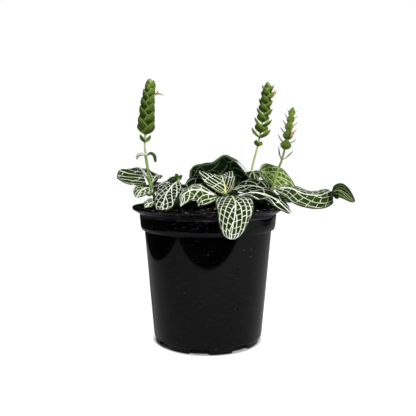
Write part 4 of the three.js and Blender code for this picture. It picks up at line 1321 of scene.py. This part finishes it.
def drain_cutters():
    """Drills and flared blocks that cut the drain holes and the notches of the foot ring."""
    hole_radius, hole_distance, notch_distance = 3.5, 27, 37.2
    notch_length, notch_height, width_at_top, width_at_foot = 12, 5, 11, 15.5
    cutters = []
    for k in range(8):
        about = upright_turn(math.radians(-98.5 + 45 * k))
        out = about[:, 0]
        bpy.ops.mesh.primitive_cylinder_add(
            vertices=40, radius=hole_radius * MM, depth=6 * MM,
            location=placed(hole_distance * out + (0, 0, 5)),
        )
        cutters.append(bpy.context.object)
        bpy.ops.mesh.primitive_cube_add(size=MM, location=placed(notch_distance * out + (0, 0, 1.5)))
        block = bpy.context.object
        form = corners(block) / MM
        width = np.where(form[:, 2] > 0, width_at_top, width_at_foot)
        local = np.stack([form[:, 0] * notch_length, form[:, 1] * width, form[:, 2] * notch_height], axis=1)
        set_corners(block, local @ about.T * MM)
        cutters.append(block)
    return joined("drain_cutters", cutters)


def make_pot():
    shell = turned_shell()
    cutters = drain_cutters()
    worked(shell, "BOOLEAN", object=cutters, operation="DIFFERENCE", solver="EXACT")
    discarded(cutters)
    worked(
        shell, "BEVEL", width=0.22 * MM, segments=2, limit_method="ANGLE", angle_limit=math.radians(55),
        use_clamp_overlap=True,
    )
    settled(shell, "pot", POT_PLASTIC, angle=35)


# Studio

def table():
    """A pale table under the pot.

    It ends in front of the pot and to its left, where the glossy pot mirrors the dark room.
    """
    left, right, front, back = -245, 430, -197, 800
    middle = placed(((left + right) / 2, (front + back) / 2, -0.3))
    bpy.ops.mesh.primitive_plane_add(size=1, location=middle)
    top = called("table")
    top.scale = ((right - left) * MM, (back - front) * MM, 1)
    bpy.ops.object.transform_apply()
    cloth = Finish("table_white")
    seen = cloth.node("ShaderNodeLightPath", output="Is Camera Ray")
    places = {0: cloth.place(), 1: tuple(POT_AXIS)}
    # Under the pot the glow seen by the camera stops: a painted round shadow where the pot stands
    beside = cloth.node("ShaderNodeVectorMath", {"operation": "DISTANCE"}, places, "Value")
    clear = beside.step(37 * MM, 41 * MM)
    cloth.surface(
        Base_Color=cloth.blend(cloth.speckle(300), rgb(188, 188, 188), rgb(200, 200, 200)),
        Roughness=0.9,
        Emission_Color=cloth.blend(seen * clear, (0.0, 0.0, 0.0), (1.0, 1.0, 1.0)),
        Emission_Strength=0.94,
    )
    top.data.materials.append(cloth.material)


def surroundings():
    """White where they are seen, and dim where they are mirrored."""
    world = bpy.data.worlds.new("studio_white")
    world.use_nodes = True
    bpy.context.scene.world = world
    sky = Finish("sky", tree=world.node_tree)
    seen = sky.node("ShaderNodeLightPath", output="Is Camera Ray")
    soft = sky.node("ShaderNodeLightPath", output="Is Diffuse Ray")
    backdrop = world.node_tree.nodes["Background"]
    sky.feed(backdrop.inputs["Color"], (1.0, 1.0, 1.0))
    sky.feed(backdrop.inputs["Strength"], 0.02 + 0.98 * seen + 0.2 * soft)


def key_lamp():
    """A soft round lamp from the front right, above."""
    bpy.ops.object.light_add(type="AREA")
    lamp = called("key_lamp")
    aim = Vector(placed((4, -8, 105)))
    distance = 0.9
    lamp.location = aim + Vector((0.3, -0.73, 0.6)).normalized() * distance
    lamp.rotation_euler = (aim - lamp.location).to_track_quat("-Z", "Y").to_euler()
    lamp.data.shape = "DISK"
    lamp.data.size = 0.25
    lamp.data.energy = 9.6


def camera():
    """Level with the leaves, far in front of the pot, and looking a little downwards."""
    downwards = 0.079
    bpy.ops.object.camera_add(location=placed((0, -370.6, 124)), rotation=(math.pi / 2 - downwards, 0, 0))
    eye = called("camera")
    eye.data.lens = 44.74
    eye.data.sensor_width = 36
    eye.data.clip_start = 0.01
    bpy.context.scene.camera = eye
    bpy.context.scene.view_settings.view_transform = "Standard"


table()
surroundings()
key_lamp()
camera()
make_pot()
lay_soil()
grow_shoots()
grow_spikes()
dried_flowers()
